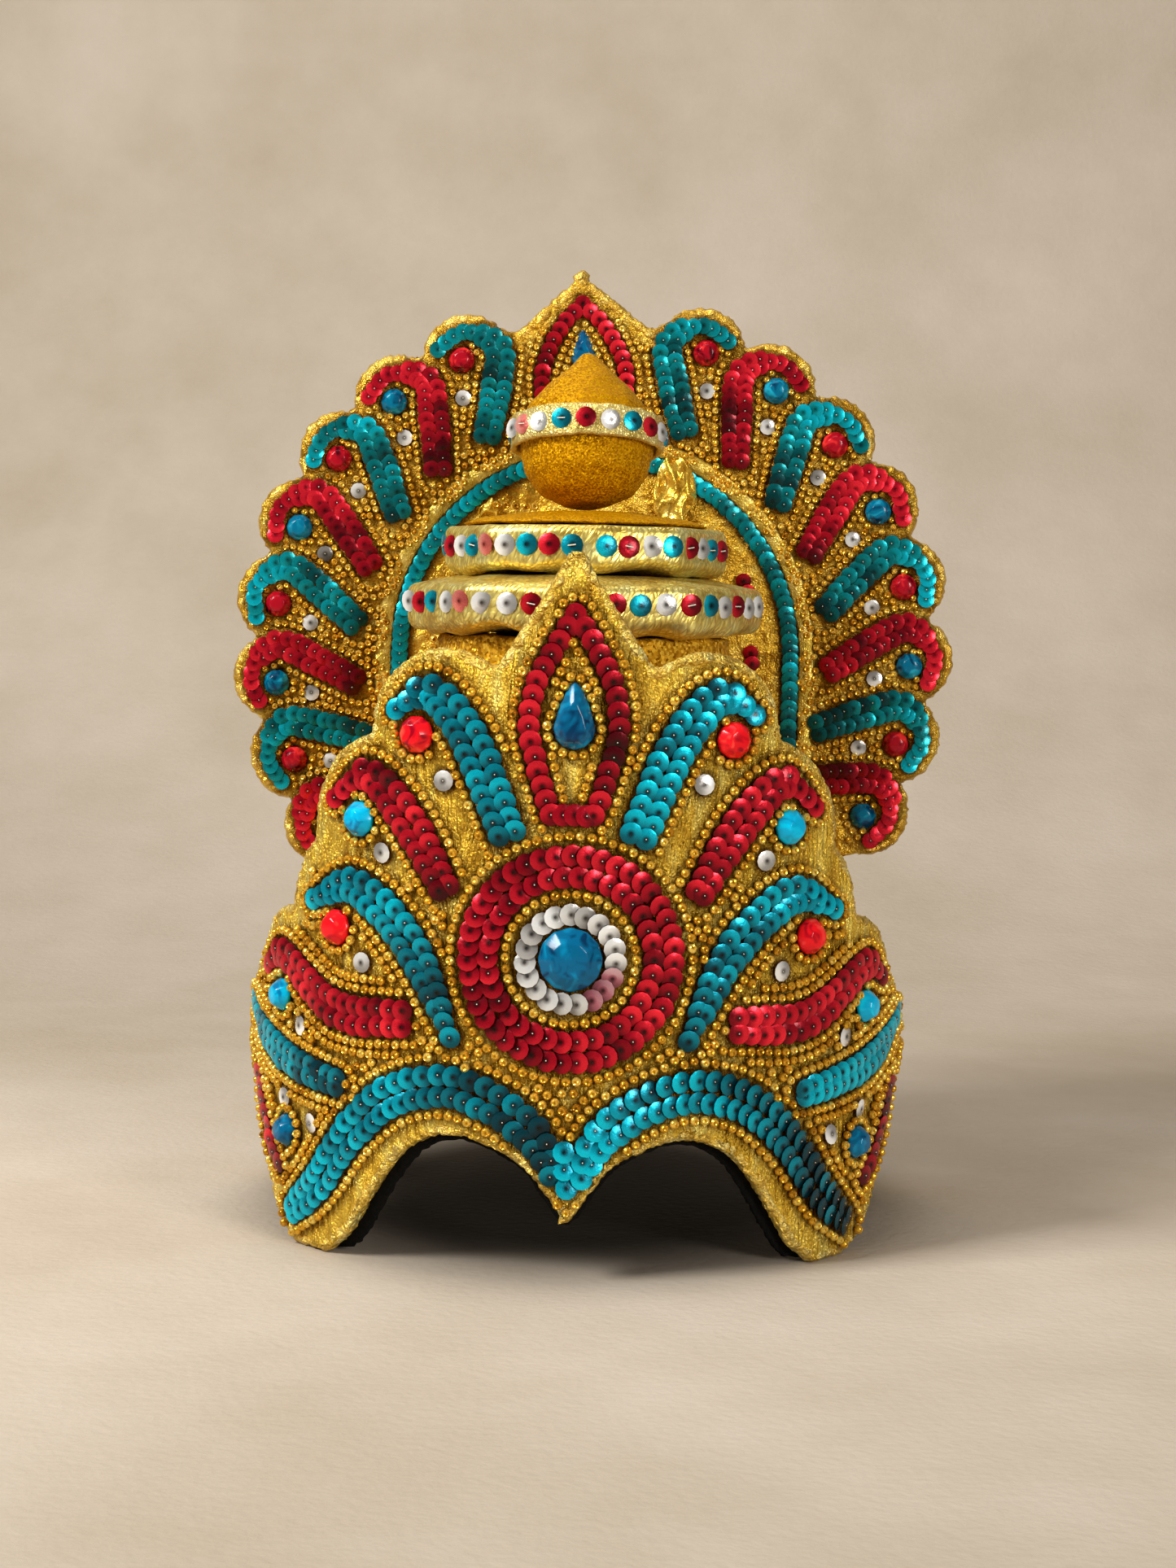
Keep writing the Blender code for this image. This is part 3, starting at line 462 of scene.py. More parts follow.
def make_sequin(name, shadow, hole):
    """The film is domed ring by ring from a circle. Painted shade is kept by point: the
    side that the next sequin presses on gets a painted shadow, and the hole is painted darkest."""
    bpy.ops.object.select_all(action="DESELECT")
    bpy.ops.mesh.primitive_circle_add(vertices=12, radius=SEQUIN_RADIUS, fill_type="NGON",
                                      location=(0, 0, -sum(rise for radius, rise in SEQUIN_RINGS)))
    piece = bpy.context.object
    piece.name = name
    bpy.ops.object.transform_apply(location=True)
    bpy.ops.object.mode_set(mode="EDIT")
    bpy.ops.mesh.select_all(action="SELECT")
    bpy.ops.mesh.extrude_region_move(TRANSFORM_OT_translate={"value": (0, 0, SEQUIN_FILM)})
    outer = SEQUIN_RADIUS
    for radius, rise in (*SEQUIN_RINGS, (SEQUIN_RINGS[-1][0] - 0.06, -0.12)):
        bpy.ops.mesh.inset(thickness=outer - radius, depth=0)
        bpy.ops.transform.translate(value=(0, 0, rise))
        outer = radius
    mend()
    tones = []
    for vert in piece.data.vertices:
        pressed = min(max((vert.co.x + 1.6) / 3, 0), 1)
        tones.append(hole if vert.co.to_2d().length < 0.4 else 1 - shadow * pressed)
    piece["tones"] = tones
    return piece


def copies(name, pattern, places, shades, material, sharp_deg=35, node=None):
    """One piece of many copies of a pattern in mm, each with its own shade, times the painted shade that the
    pattern keeps by point.
    """
    count = len(pattern.data.vertices)
    points = np.array([vert.co for vert in pattern.data.vertices])
    faces = [tuple(polygon.vertices) for polygon in pattern.data.polygons]
    all_points = []
    all_faces = []
    for number, place in enumerate(places):
        matrix = np.array(place)
        all_points.append(points @ matrix[:3, :3].T * MM + matrix[:3, 3])
        all_faces.extend([tuple(number * count + index for index in face) for face in faces])
    mesh = bpy.data.meshes.new(name)
    mesh.from_pydata(np.concatenate(all_points).tolist(), [], all_faces)
    whole = 0.12 + 0.88 * np.array(shades, dtype=np.float32)
    shade = mesh.attributes.new("shade", "FLOAT", "POINT")
    parts = np.array(list(pattern.get("tones", [1] * count)))
    shade.data.foreach_set("value", np.outer(whole, parts).ravel())
    piece = add_object(name, mesh)
    only(piece)
    bpy.ops.object.shade_smooth_by_angle(angle=math.radians(sharp_deg))
    return declare(piece, material, node)


def film_material(name, dark, middle, light, metallic=0.6, rough=0.25):
    """Coloured film: each sequin has its own painted shade, near black in the hole, scuffed and lacquered."""
    material, tree, shader = new_material(name, middle)
    stops = ((0, (0.01, 0.008, 0.005)), (0.12, dark), (0.5, middle), (1, light))
    scuff = noise_on(tree, 1.4, Detail=3)
    wire(tree, shader, {
        "Metallic": metallic, "Specular IOR Level": 0.25, "Coat Weight": 0.1, "Coat Roughness": 0.12,
        "Base Color": colour_ramp(tree, kept_by_point(tree, "shade"), stops),
        "Roughness": ranged(tree, scuff, rough * 0.8, rough * 1.4),
        "Normal": add_bump(tree, scuff, 0.16, 0.6),
    })
    return material


# Slot, then the dark, middle and light tone of the painted shade, and for some how metallic and how rough
FILMS = {
    "teal": ("teal_sequins", (0, 0.05, 0.075), (0, 0.30, 0.42), (0, 0.64, 0.86)),
    "green": ("teal_sequins", (0, 0.045, 0.05), (0, 0.25, 0.28), (0, 0.58, 0.78)),
    "red": ("red_sequins", (0.09, 0, 0.004), (0.46, 0.003, 0.016), (0.94, 0.022, 0.042)),
    "clear": ("clear_sequins", (0.17, 0.16, 0.15), (0.54, 0.54, 0.53), (0.98, 1, 1), 0.4, 0.2),
    "rosy": ("clear_sequins", (0.13, 0.03, 0.04), (0.42, 0.13, 0.17), (0.78, 0.55, 0.57), 0.4, 0.2),
    "pink": ("red_sequins", (0.42, 0.07, 0.06), (0.80, 0.20, 0.17), (0.96, 0.45, 0.38)),
}
films_made = {film: (film_material(film + "_film", *look), slot) for film, (slot, *look) in FILMS.items()}
sequin = make_sequin("sequin_pattern", 0.7, 0.06)


def square(x, y):
    """The square of 8 mm that a place is in."""
    return int(x // 8), int(y // 8)


def take(taken, x, y, radius):
    taken.setdefault(square(x, y), []).append((x, y, radius))


def strip_rows(line, pitch, radius, pair_from):
    """Places of the sequins of a strip: two rows, or one where it is narrow."""
    marks = walk(walk(line, 0.4)[3:-4], pitch)
    rows = []
    for side in (1, -1):
        for x, y, half, heading in marks:
            if half > pair_from:
                off = side * (half - radius) * ROW_OUT
            elif side > 0:
                off = 0
            else:
                continue
            rows.append((x - math.sin(heading) * off, y + math.cos(heading) * off, heading))
    return rows


def turned(degrees, axis):
    return Matrix.Rotation(math.radians(degrees), 4, axis)


def sew(name, film, rows, surface, taken, stitches, radius=SEQUIN_RADIUS, lift=1.5,
        tone=(0.5, 0.5), tilt_deg=SEQUIN_TILT_DEG, pattern=None, measure=lambda x, y: x, node=None):
    """Sequins along the rows, each tilted over the one before, most with a stitch. Film takes
    the light by its lie: painted light and shade run in the tone along the measure, left to right."""
    places = []
    shades = []
    along = [measure(x, y) for x, y, heading in rows]
    span = max(along) - min(along) + 0.001
    for (x, y, heading), at in zip(rows, along):
        take(taken, x, y, radius)
        spot = surface(x + rng.uniform(-0.2, 0.2), y + rng.uniform(-0.2, 0.2),
                       lift + rng.uniform(-0.1, 0.1))
        lean = (spot @ Matrix.Rotation(heading + rng.uniform(-0.08, 0.08), 4, "Z")
                @ turned(tilt_deg + rng.uniform(-5, 5), "Y") @ turned(rng.uniform(-6, 6), "X"))
        places.append(lean @ Matrix.Scale(radius / SEQUIN_RADIUS, 4))
        # The sequin's painted shade: its run along the strip, patches and random strays
        patch = noise.noise(Vector((x / 12, y / 12, len(name) * 0.7)))
        own = tone[0] + (tone[1] - tone[0]) * (at - min(along)) / span
        shades.append(min(max(own + patch * PATCH_STRAY + rng.gauss(0, SHADE_STRAY), 0), 1))
        if rng.random() < STITCH_CHANCE:
            stitches.append(lean @ moved(0, 0, 0.1) @ Matrix.Scale(STITCH_RADIUS, 4))
    material, slot = films_made[film]
    copies(name, pattern or sequin, places, shades, material, node=node)


board_taken = {}
board_stitches = []
board_sewing = (on_board, board_taken, board_stitches)
strip_lines = []
for name, (film, left_tone, right_tone, rows) in HOOKS.items():
    line = smooth_line([(*flat(turn, height), width * ROW_PAIR / 2) for turn, height, width in rows])
    strip_lines.append(line)
    left_line = other_side(line if name == "wave" else line[::-1])
    for side, sewn, tone in (("_left", left_line, left_tone), ("_right", line[::-1], right_tone)):
        places = strip_rows(sewn, SEQUIN_PITCH, SEQUIN_RADIUS, PAIR_FROM)
        if name + side == "wave_right":
            places = WAVE_MEETING + places
        sew(name + side + "_sequins", film, places, *board_sewing, tone=tone, node=name + side)

# Medallion and spike loop: rings of sequins laid round clockwise about the
# largest stone, red outside and clear inside, and a red loop up the spike.
MEDALLION = (0, BOARD_HEIGHT * 0.444)
RED_RINGS = ((28.1, 0), (22.4, 5))
CLEAR_RING = 12.2
CLEAR_PITCH = 4
# Three films of the clear ring are rosy, counted from its top
ROSY = slice(6, 9)
SPIKE_LOOP = ((0, 0.910), (3, 0.869), (6.2, 0.812), (7, 0.757), (5.7, 0.705), (4.2, 0.660),
              (3.3, 0.640))


def row_along(line, pitch):
    return [(x, y, heading) for x, y, half, heading in walk(line, pitch)]


def ring_row(radius, pitch, first_deg=0):
    """Places round the medallion, clockwise from a turn from its top."""
    count = round(math.tau * radius / pitch)
    angles = [math.tau * number / count + math.radians(first_deg) for number in range(count)]
    return [(MEDALLION[0] + radius * math.sin(angle), MEDALLION[1] + radius * math.cos(angle), -angle)
            for angle in angles]


red_rings = [place for radius, first in RED_RINGS for place in ring_row(radius, SEQUIN_PITCH, first)]
sew("medallion_red_sequins", "red", red_rings, *board_sewing, tone=(0.5, 0.7), node="medallion_ring_red")
clear_ring = ring_row(CLEAR_RING, CLEAR_PITCH)
rosy_part = clear_ring[ROSY]
del clear_ring[ROSY]
sew("medallion_clear_sequins", "clear", clear_ring, on_board, board_taken, [], tone=(0.45, 0.8),
    node="medallion_ring_clear")
sew("medallion_rosy_sequins", "rosy", rosy_part, on_board, board_taken, [])
loop_side = smooth_line([flat(*place) for place in SPIKE_LOOP])
loop_rows = row_along(loop_side, SEQUIN_PITCH) + row_along(other_side(loop_side), SEQUIN_PITCH)
loop_rows += [(x, loop_side[-1][1], 0) for x in (-2.4, 0.6, 3.6)]
sew("spike_loop_sequins", "red", loop_rows, *board_sewing, tone=(0.95, 0.15), node="spike_loop")


# Stones of the board: moulded acrylic, foil behind, with softened facets. They
# are glued on. Lighter and darker patches in their colour are painted reflections of the foil behind.
def stone_material(name, deep, body, light):
    material, tree, shader = new_material(name, body)
    reflection_patches = noise_on(tree, 5, Detail=1, Distortion=1.2)
    wire(tree, shader, {
        "Specular IOR Level": 0.2, "Roughness": 0.16, "Coat Weight": 0.06, "Coat Roughness": 0.05,
        "Base Color": colour_ramp(tree, reflection_patches, ((0.30, deep), (0.46, body), (0.56, body), (0.72, light))),
    })
    return material


# Slot, then the deep, body and light colour: deep and light are painted reflections
STONES = {
    "deep_blue": ("blue_stone", (0, 0.03, 0.09), (0, 0.11, 0.24), (0, 0.22, 0.42)),
    "teal_blue": ("blue_stone", (0, 0.03, 0.08), (0, 0.13, 0.24), (0.01, 0.34, 0.50)),
    "sky_blue": ("blue_stone", (0, 0.16, 0.36), (0, 0.42, 0.72), (0, 0.60, 0.90)),
    "scarlet": ("red_stone", (0.30, 0, 0.01), (0.82, 0.006, 0.012), (1, 0.07, 0.05)),
    "crimson": ("red_stone", (0.06, 0, 0.004), (0.34, 0.003, 0.012), (0.80, 0.03, 0.03)),
}
stones_made = {kind: (stone_material(kind + "_stone", *look), slot) for kind, (slot, *look) in STONES.items()}


def set_stone(node, kind, sharp_deg=26):
    """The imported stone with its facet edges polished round."""
    piece = own_copy(node, node + "_cut")
    apply_modifier(piece, "BEVEL", width=0.6 * MM, segments=3, limit_method="ANGLE",
                   angle_limit=math.radians(12))
    bpy.ops.object.shade_smooth_by_angle(angle=math.radians(sharp_deg))
    material, slot = stones_made[kind]
    declare(piece, material, node)


SIDE_STONES = {
    "stone_a": (26, 0.743, 5.2, "scarlet"),
    "stone_b": (37.1, 0.622, 5.1, "sky_blue"),
    "stone_c": (42.1, 0.467, 5.2, "scarlet"),
    "stone_d": (58.2, 0.355, 4.8, "sky_blue"),
    "stone_f": (56.1, 0.160, 4.8, "deep_blue"),
}
board_stones = []
for name, (turn, height, radius, kind) in SIDE_STONES.items():
    x, y = flat(turn, height)
    for side, sign in (("_right", 1), ("_left", -1)):
        set_stone(name + side, kind)
        take(board_taken, sign * x, y, radius)
        board_stones.append((sign * x, y, radius))
set_stone("stone_medallion", "deep_blue", 80)
take(board_taken, *MEDALLION, 8.8)
set_stone("stone_spike", "deep_blue")
DROP_MIDDLE = flat(0, 0.757)[1]
DROP_ROUND = 5.7
DROP_POINT = 12.6
for share in range(9):
    take(board_taken, 0, DROP_MIDDLE + DROP_POINT * share / 9, DROP_ROUND * (1 - share / 9))

# Gold beads: round metal-coated seeds with a hole, sewn one by one in rows that
# follow every strip, stone and ring. They cover most of the foil between.
BEAD_RADIUS = 1.4
BEAD_PITCH = 2.95
BEADS_APART = 0.84
SHADE_SPREAD = 0.22
ROW_GAP = 1.6
SECOND_ROW_GAP = 4.5
SECOND_ROWS_BELOW = 108
# How far the rows keep from the board's edge: by the strips, inside, and second rows
EDGE_MARGIN = 2.3
INNER_MARGIN = 4
SECOND_MARGIN = 7.4
MEDALLION_BEAD_ROWS = (17.7, 33.4)
# Radius of the outer rows round the medallion, and the height that they stop at
MEDALLION_LOW_ROWS = ((36.6, 100), (39.8, 60))
POINT_BEADS = ((0, 19.3), (-2.4, 21.6), (2.6, 21.7))
REAR_ROW_FROM = 112
REAR_ROW_INSET = 6
REAR_MARGIN = 4.6
# How dark the painted shade on the cloth is at a stitched piece, how far that fades, and how far round a
# sequin
STITCH_SHADE_DARK = 0.66
STITCH_SHADE_REACH = 3
SEQUIN_SKIRT = 1.1
LOOSE_RADIUS = 2.9
LOOSE_TILT_DEG = 3
# Loose clear sequins: x and y on the flat board, the same on both sides
LOOSE_CLEARS = ((36, 136), (55.5, 115), (62, 84), (89, 63), (83, 36), (98, 41))


def make_bead(name, segments, rings, dimple):
    """A seed flattened a little, with the hole sunk at its top and painted dark."""
    bpy.ops.object.select_all(action="DESELECT")
    bpy.ops.mesh.primitive_uv_sphere_add(segments=segments, ring_count=rings, radius=1)
    piece = bpy.context.object
    piece.name = name
    top = max(piece.data.vertices, key=lambda vert: vert.co.z)
    top.co.z -= dimple
    piece["tones"] = [0 if dimple and vert.index == top.index else 1 for vert in piece.data.vertices]
    bpy.ops.object.mode_set(mode="EDIT")
    bpy.ops.mesh.select_all(action="SELECT")
    bpy.ops.transform.resize(value=(1, 1, 0.85))
    bpy.ops.object.mode_set(mode="OBJECT")
    return piece


bead = make_bead("bead_pattern", 9, 5, 0.62)
knot = make_bead("knot_pattern", 5, 3, 0)
bead_gold, tree, shader = new_material("bead_gold", (0.80, 0.50, 0.10))
dents = noise_on(tree, 0.9, Detail=2)
# The first tone is the painted dark in the bead's hole
bead_tones = ((0, (0.03, 0.01, 0)), (0.12, (0.48, 0.21, 0.01)), (0.5, (0.84, 0.46, 0.035)),
              (1, (0.98, 0.74, 0.16)))
wire(tree, shader, {
    "Metallic": 0.7, "Specular IOR Level": 0.3, "Roughness": ranged(tree, dents, 0.18, 0.34),
    "Base Color": colour_ramp(tree, kept_by_point(tree, "shade"), bead_tones),
    "Normal": add_bump(tree, dents, 0.3, 0.5),
})
thread, tree, shader = new_material("pale_thread", (0.8, 0.75, 0.6))
twist = noise_on(tree, 0.3, Detail=2)
wire(tree, shader, {
    "Roughness": 0.45,
    "Base Color": colour_ramp(tree, twist, ((0.3, (0.62, 0.55, 0.40)), (0.7, (0.90, 0.87, 0.78)))),
})


def far_inside(x, y, edge, margin):
    """Whether a place is inside the outline and clear of its edge."""
    dx = edge[:, 0] - x
    dy = edge[:, 1] - y
    if np.min(dx * dx + dy * dy) < margin * margin:
        return False
    ahead = np.roll(edge, -1, axis=0)
    crosses = (edge[:, 1] > y) != (ahead[:, 1] > y)
    run = np.where(crosses, ahead[:, 1] - edge[:, 1], 1)
    at = edge[:, 0] + (y - edge[:, 1]) / run * (ahead[:, 0] - edge[:, 0])
    return bool(np.count_nonzero(crosses & (at > x)) % 2)


def near_taken(taken, x, y, reach):
    """What is sewn on already in the squares up to a reach away."""
    column, row = square(x, y)
    return [item for i in range(column - reach, column + reach + 1)
            for k in range(row - reach, row + reach + 1) for item in taken.get((i, k), ())]


def string_row(cloth, path, margin, closed=True, below=math.inf):
    """Adds beads along a path wherever the cloth is still free."""
    taken, strung, edge, radius, pitch = cloth
    for x, y, half, heading in walk(path, pitch, closed):
        x += rng.uniform(-0.12, 0.12)
        y += rng.uniform(-0.12, 0.12)
        if y > below or not far_inside(x, y, edge, margin):
            continue
        if all(math.hypot(x - ox, y - oy) >= (radius + other) * BEADS_APART
               for ox, oy, other in near_taken(taken, x, y, 2)):
            take(taken, x, y, radius)
            strung.append((x, y, heading))


def around(line, gap):
    """Closed path round a strip at a distance from its edge, with round ends."""
    marks = walk([(x, y, half + gap) for x, y, half in line], 1)
    path = [(x + math.sin(a) * half, y - math.cos(a) * half) for x, y, half, a in marks]
    for (x, y, half, heading), start in ((marks[-1], -90), (marks[0], 90)):
        if start > 0:
            path += [(mx - math.sin(a) * mh, my + math.cos(a) * mh) for mx, my, mh, a in marks[::-1]]
        for turn in range(0, 181, 15):
            angle = heading + math.radians(start + turn)
            path.append((x + half * math.cos(angle), y + half * math.sin(angle)))
    return path


def circle(x, y, radius, steps=48):
    return [(x + radius * math.cos(math.tau * i / steps), y + radius * math.sin(math.tau * i / steps))
            for i in range(steps)]


def drop(middle, wide, tall):
    """Outline of a drop, round below its middle and drawn to a point above."""
    points = [(x * (1 - 0.42 * max(y, 0)), y) for x, y in circle(0, 0, 1)]
    return [(x * wide, middle + y * (tall if y > 0 else wide)) for x, y in points]


def bead_rows(name, strung, surface, radius, lift, tone):
    places = []
    shades = []
    for x, y, heading in strung:
        spot = surface(x, y, lift + rng.uniform(-0.12, 0.12))
        places.append(spot @ Matrix.Rotation(rng.uniform(0, math.tau), 4, "Z")
                      @ turned(rng.gauss(0, 14), "X")
                      @ Matrix.Scale(radius * rng.uniform(0.93, 1.05), 4))
        shades.append(min(max(rng.gauss(tone, SHADE_SPREAD), 0), 1))
    copies(name, bead, places, shades, bead_gold, 80)


def knots(name, places):
    copies(name, knot, places, [0.9] * len(places), thread, 80)


board_rim = np.array(walk(board_edge, 1.5, True))
board_strung = [(x, y, 0) for x, y in POINT_BEADS]
for x, y in POINT_BEADS:
    take(board_taken, x, y, BEAD_RADIUS)
cloth = (board_taken, board_strung, board_rim, BEAD_RADIUS, BEAD_PITCH)
for radius in MEDALLION_BEAD_ROWS:
    string_row(cloth, circle(*MEDALLION, radius), INNER_MARGIN)
string_row(cloth, drop(DROP_MIDDLE, DROP_ROUND + ROW_GAP, DROP_POINT + ROW_GAP), INNER_MARGIN)
loop_line = [(x, y, 3) for x, y in loop_side]
for line in (loop_line, other_side(loop_line)):
    string_row(cloth, around(line, ROW_GAP), INNER_MARGIN)
strip_lines += [other_side(line) for line in strip_lines]
for line in strip_lines:
    string_row(cloth, around(line, ROW_GAP), EDGE_MARGIN)
for x, y, radius in board_stones:
    string_row(cloth, circle(x, y, radius + ROW_GAP), EDGE_MARGIN)
loose = [(sign * x, y, rng.uniform(0, 6)) for x, y in LOOSE_CLEARS for sign in (1, -1)]
sew("loose_clear_sequins", "clear", loose, *board_sewing, LOOSE_RADIUS, lift=0.9, tone=(0.95, 0.95),
    tilt_deg=LOOSE_TILT_DEG)
for line in strip_lines:
    string_row(cloth, around(line, SECOND_ROW_GAP), SECOND_MARGIN, below=SECOND_ROWS_BELOW)
for radius, height in MEDALLION_LOW_ROWS:
    string_row(cloth, circle(*MEDALLION, radius), SECOND_MARGIN, below=height)
rear_row = beside([mark for mark in walk(board_edge, 1.6, True) if mark[0] > REAR_ROW_FROM], REAR_ROW_INSET)
for path in (rear_row, other_side(rear_row)):
    string_row(cloth, path, REAR_MARGIN, False)
bead_rows("front_gold_beads", board_strung, on_board, BEAD_RADIUS, lift=1, tone=0.5)


def paint_shade_beside_pieces(piece, taken, to_flat):
    """Painted shade: the cloth's colour is darkened beside the sewn pieces."""
    sewn = []
    for vert in piece.data.vertices:
        x, y, lift = to_flat(vert.co)
        near = math.inf
        for ox, oy, radius in near_taken(taken, x, y, 1) if lift > -2 else ():
            margin = SEQUIN_SKIRT if radius > 2 else 0
            near = min(near, math.hypot(x - ox, y - oy) - radius - margin)
        sewn.append(min(max(STITCH_SHADE_DARK - near / STITCH_SHADE_REACH, 0), 1))
    piece.data.attributes.new("sewn", "FLOAT", "POINT").data.foreach_set("value", sewn)


def board_flat(spot):
    x, y = (spot.x - ring_axis.x) / MM, (spot.y - ring_axis.y) / MM
    return RING_RADIUS * math.atan2(x, -y), spot.z / MM, math.hypot(x, y) - RING_RADIUS


paint_shade_beside_pieces(front_board, board_taken, board_flat)
knots("front_thread_knots", board_stitches)


# Cap: stiffened cloth with coarse gold glitter outside and felt inside, drawn
# in above the head to the drum that carries the tiers.
def glitter_material(name, dark, middle, light, grain, tilt):
    """Grains of film that each face their own way and have their own tone."""
    material, tree, shader = new_material(name, middle)
    cells = texture_on(tree, "Voronoi", grain)
    tones = add_node(tree, "SeparateColor", {"Color": cells.outputs["Color"]})
    wire(tree, shader, {
        "Metallic": 0.35, "Specular IOR Level": 0.06, "Roughness": 0.5, "Normal": tilted(tree, cells, tilt),
        "Base Color": colour_ramp(tree, tones.outputs["Red"], ((0, dark), (0.6, middle), (1, light))),
    })
    return material


gold_glitter = glitter_material("orange_gold_glitter", (0.26, 0.10, 0.002), (0.55, 0.27, 0.008),
                                (1, 0.62, 0.06), 0.75, 0.9)
cap = clothe("cap", "glitter_cap", 2.4, 4, gold_glitter)
cap.data.materials.append(felt)
crinkle(cap, 22, 0.9, 8)
for polygon in cap.data.polygons:
    out = polygon.center - ring_axis
    inward = polygon.normal.x * out.x + polygon.normal.y * out.y < 0
    roof = polygon.normal.z < -0.7 and polygon.center.z > 0.1
    polygon.material_index = 1 if inward or roof else 0

# Tiers: card drums wrapped by hand in pale grained foil, a little cornered and
# uneven along their edges, each with a row of mixed flat sequins.
TIER_SEQUIN = 3.3
WRAP_CORNERS = 9
WRAP_DIP = 0.045
FACE_FORWARD_DEG = 17
BAR_CHANCE = 0.45
TIERS = {
    # middle height of the row, radius, first turn and pitch to the right and left,
    # films from the middle to the right, then to the left
    "tier_upper": (201.6, 43.4, 9.6, -4, 9.4,
                   "teal red clear teal red clear teal", "teal red teal clear pink teal clear red"),
    "tier_lower": (184.6, 54.6, 11, -15.6, 8.3,
                   "red teal clear red teal clear red clear", "red clear clear pink clear teal red clear"),
}
REST_OF_TIER = ("clear", "teal", "pink", "red")
tier_foil = foil_material("tier_foil", (0.64, 0.43, 0.07), (1, 0.82, 0.22), (1, 0.96, 0.40),
                          1.5, 9, 28, (1, 1, 0.3), crease_depth=0.4, grain_depth=0.4,
                          facet=20, tilt=0.14, rough=(0.3, 0.42), groove=0.6)
bpy.ops.object.select_all(action="DESELECT")
bpy.ops.mesh.primitive_cylinder_add(vertices=6, radius=0.18, depth=2.4, rotation=(0, math.pi / 2, 0))
thread_bar = bpy.context.object
bpy.ops.object.transform_apply(rotation=True)


def wrapped(angle, seed):
    """The drum's radius as a share at an angle: the foil is flat from corner to corner."""
    step = math.tau / WRAP_CORNERS
    shift = 0.25 * noise.noise(Vector((math.cos(angle) * 1.3, math.sin(angle) * 1.3, seed)))
    inside = (angle + shift + seed) % step - step / 2
    return 1 - WRAP_DIP * (1 - (inside / (step / 2)) ** 2)


def wrapped_wall(radius):
    """Placement on the wrapped drum's wall, turned with its flats."""
    wall = round_wall(radius)

    def place(x, y, lift):
        angle = x / radius - math.pi / 2
        share = wrapped(angle, radius)
        slope = (wrapped(angle + 0.01, radius) - wrapped(angle - 0.01, radius)) / 0.02
        return wall(x, y, lift + radius * (share - 1)) @ Matrix.Rotation(-math.atan(slope), 4, "Y")
    return place


def hand_wrap(piece, wave, seed):
    """Presses the drum flat between corners, tucks its foot in and lets it waver."""
    heights = [vert.co.z for vert in piece.data.vertices]
    low = min(heights)
    high = max(heights)
    for vert in piece.data.vertices:
        x = vert.co.x - ring_axis.x
        y = vert.co.y - ring_axis.y
        share = (vert.co.z - low) / (high - low)
        press = wrapped(math.atan2(y, x), seed) - 0.5 * max(0.28 - share, 0) ** 2
        vert.co.x = ring_axis.x + x * press
        vert.co.y = ring_axis.y + y * press
        vert.co.z += noise.noise(Vector((x * 70, y * 70, seed))) * wave * MM * (1 - share)
    piece.data.update()


def mixed_row(name, films, surface, turns, radius, y, size, lift):
    """Flat sequins of several colours in one row, some crossed by a thread."""
    by_film = {}
    bars = []
    for film, turn in zip(films, turns):
        spot = surface(radius * math.radians(turn), y + rng.uniform(-0.3, 0.3), lift)
        spot = (spot @ turned(-FACE_FORWARD_DEG * math.sin(math.radians(turn)), "Y")
                @ turned(rng.uniform(-7, 7), "X") @ turned(rng.uniform(-9, 9), "Y"))
        by_film.setdefault(film, []).append(spot @ Matrix.Scale(size / SEQUIN_RADIUS, 4))
        if film != "clear" and rng.random() < BAR_CHANCE:
            bars.append(spot @ moved(0, 0, 0.12) @ Matrix.Rotation(rng.uniform(-0.3, 0.3), 4, "Z"))
    for film, places in by_film.items():
        material, slot = films_made[film]
        shades = [rng.uniform(0.85 if film == "clear" else 0.45, 1) for place in places]
        copies(name + "_" + film + "_sequins", sequin, places, shades, material)
    copies(name + "_threads", thread_bar, bars, [0.5] * len(bars), thread)


for name, (height, radius, first_right, first_left, pitch, right, left) in TIERS.items():
    tier = clothe(name, name + "_foil", 0.85, 1, tier_foil)
    hand_wrap(tier, 2.4, radius)
    crinkle(tier, 14, 0.2, radius)
    only(tier)
    bpy.ops.object.shade_smooth_by_angle(angle=math.radians(32))
    films = right.split()
    turns = [first_right + pitch * i for i in range(len(films))]
    turn = turns[-1] + pitch
    turns += [first_left - pitch * i for i in range(len(left.split()))]
    films += left.split()
    last_turn = 360 + turns[-1] - pitch * 0.6
    while turn < last_turn:
        films.append(REST_OF_TIER[len(films) % 4])
        turns.append(turn)
        turn += pitch
    mixed_row(name, films, wrapped_wall(radius), turns, radius, height, TIER_SEQUIN, 0.4)

# Dome, bulb and its band: glitter cloth drawn over shaped foam, and a ribbon of
# pale foil round the bulb's waist with a row of mixed sequins.
BULB_LEAN_DEG = 9
BULB_FOOT = 7
BULB_SEAT = 213.4
BAND_RADIUS = 23.6
BAND_MIDDLE = 22
BAND_SEQUIN = 3.1
BAND_PITCH_DEG = 18
BAND_FILMS = ("red clear teal red clear teal red pink clear teal "
              "clear red teal clear pink teal clear pink clear teal").split()
bulb_glitter = glitter_material("bulb_glitter", (0.27, 0.105, 0), (0.52, 0.235, 0),
                                (0.84, 0.45, 0.002), 0.45, 0.8)
for node, skin, soften in (("tier_dome", 0.9, 4), ("bulb", 0.8, 14)):
    piece = clothe(node, node + "_glitter", skin, soften, bulb_glitter)
    crinkle(piece, 14, 0.35, skin * 9)
    crinkle(piece, 1.1, 0.05, skin * 5)
band_foil = foil_material("band_foil", (0.54, 0.39, 0.09), (0.76, 0.60, 0.18), (0.94, 0.82, 0.36),
                          0.9, 4, crease_depth=0.8, grain_depth=0.5, tilt=0.3, rough=(0.34, 0.5))
band = clothe("bulb_band", "bulb_band_foil", 0.7, 3, band_foil)
crinkle(band, 6, 0.35, 6)
bulb_foot = BULB_SEAT + BULB_FOOT * math.sin(math.radians(BULB_LEAN_DEG))
bulb_axis = moved(0, 0, bulb_foot) @ turned(-BULB_LEAN_DEG, "X")
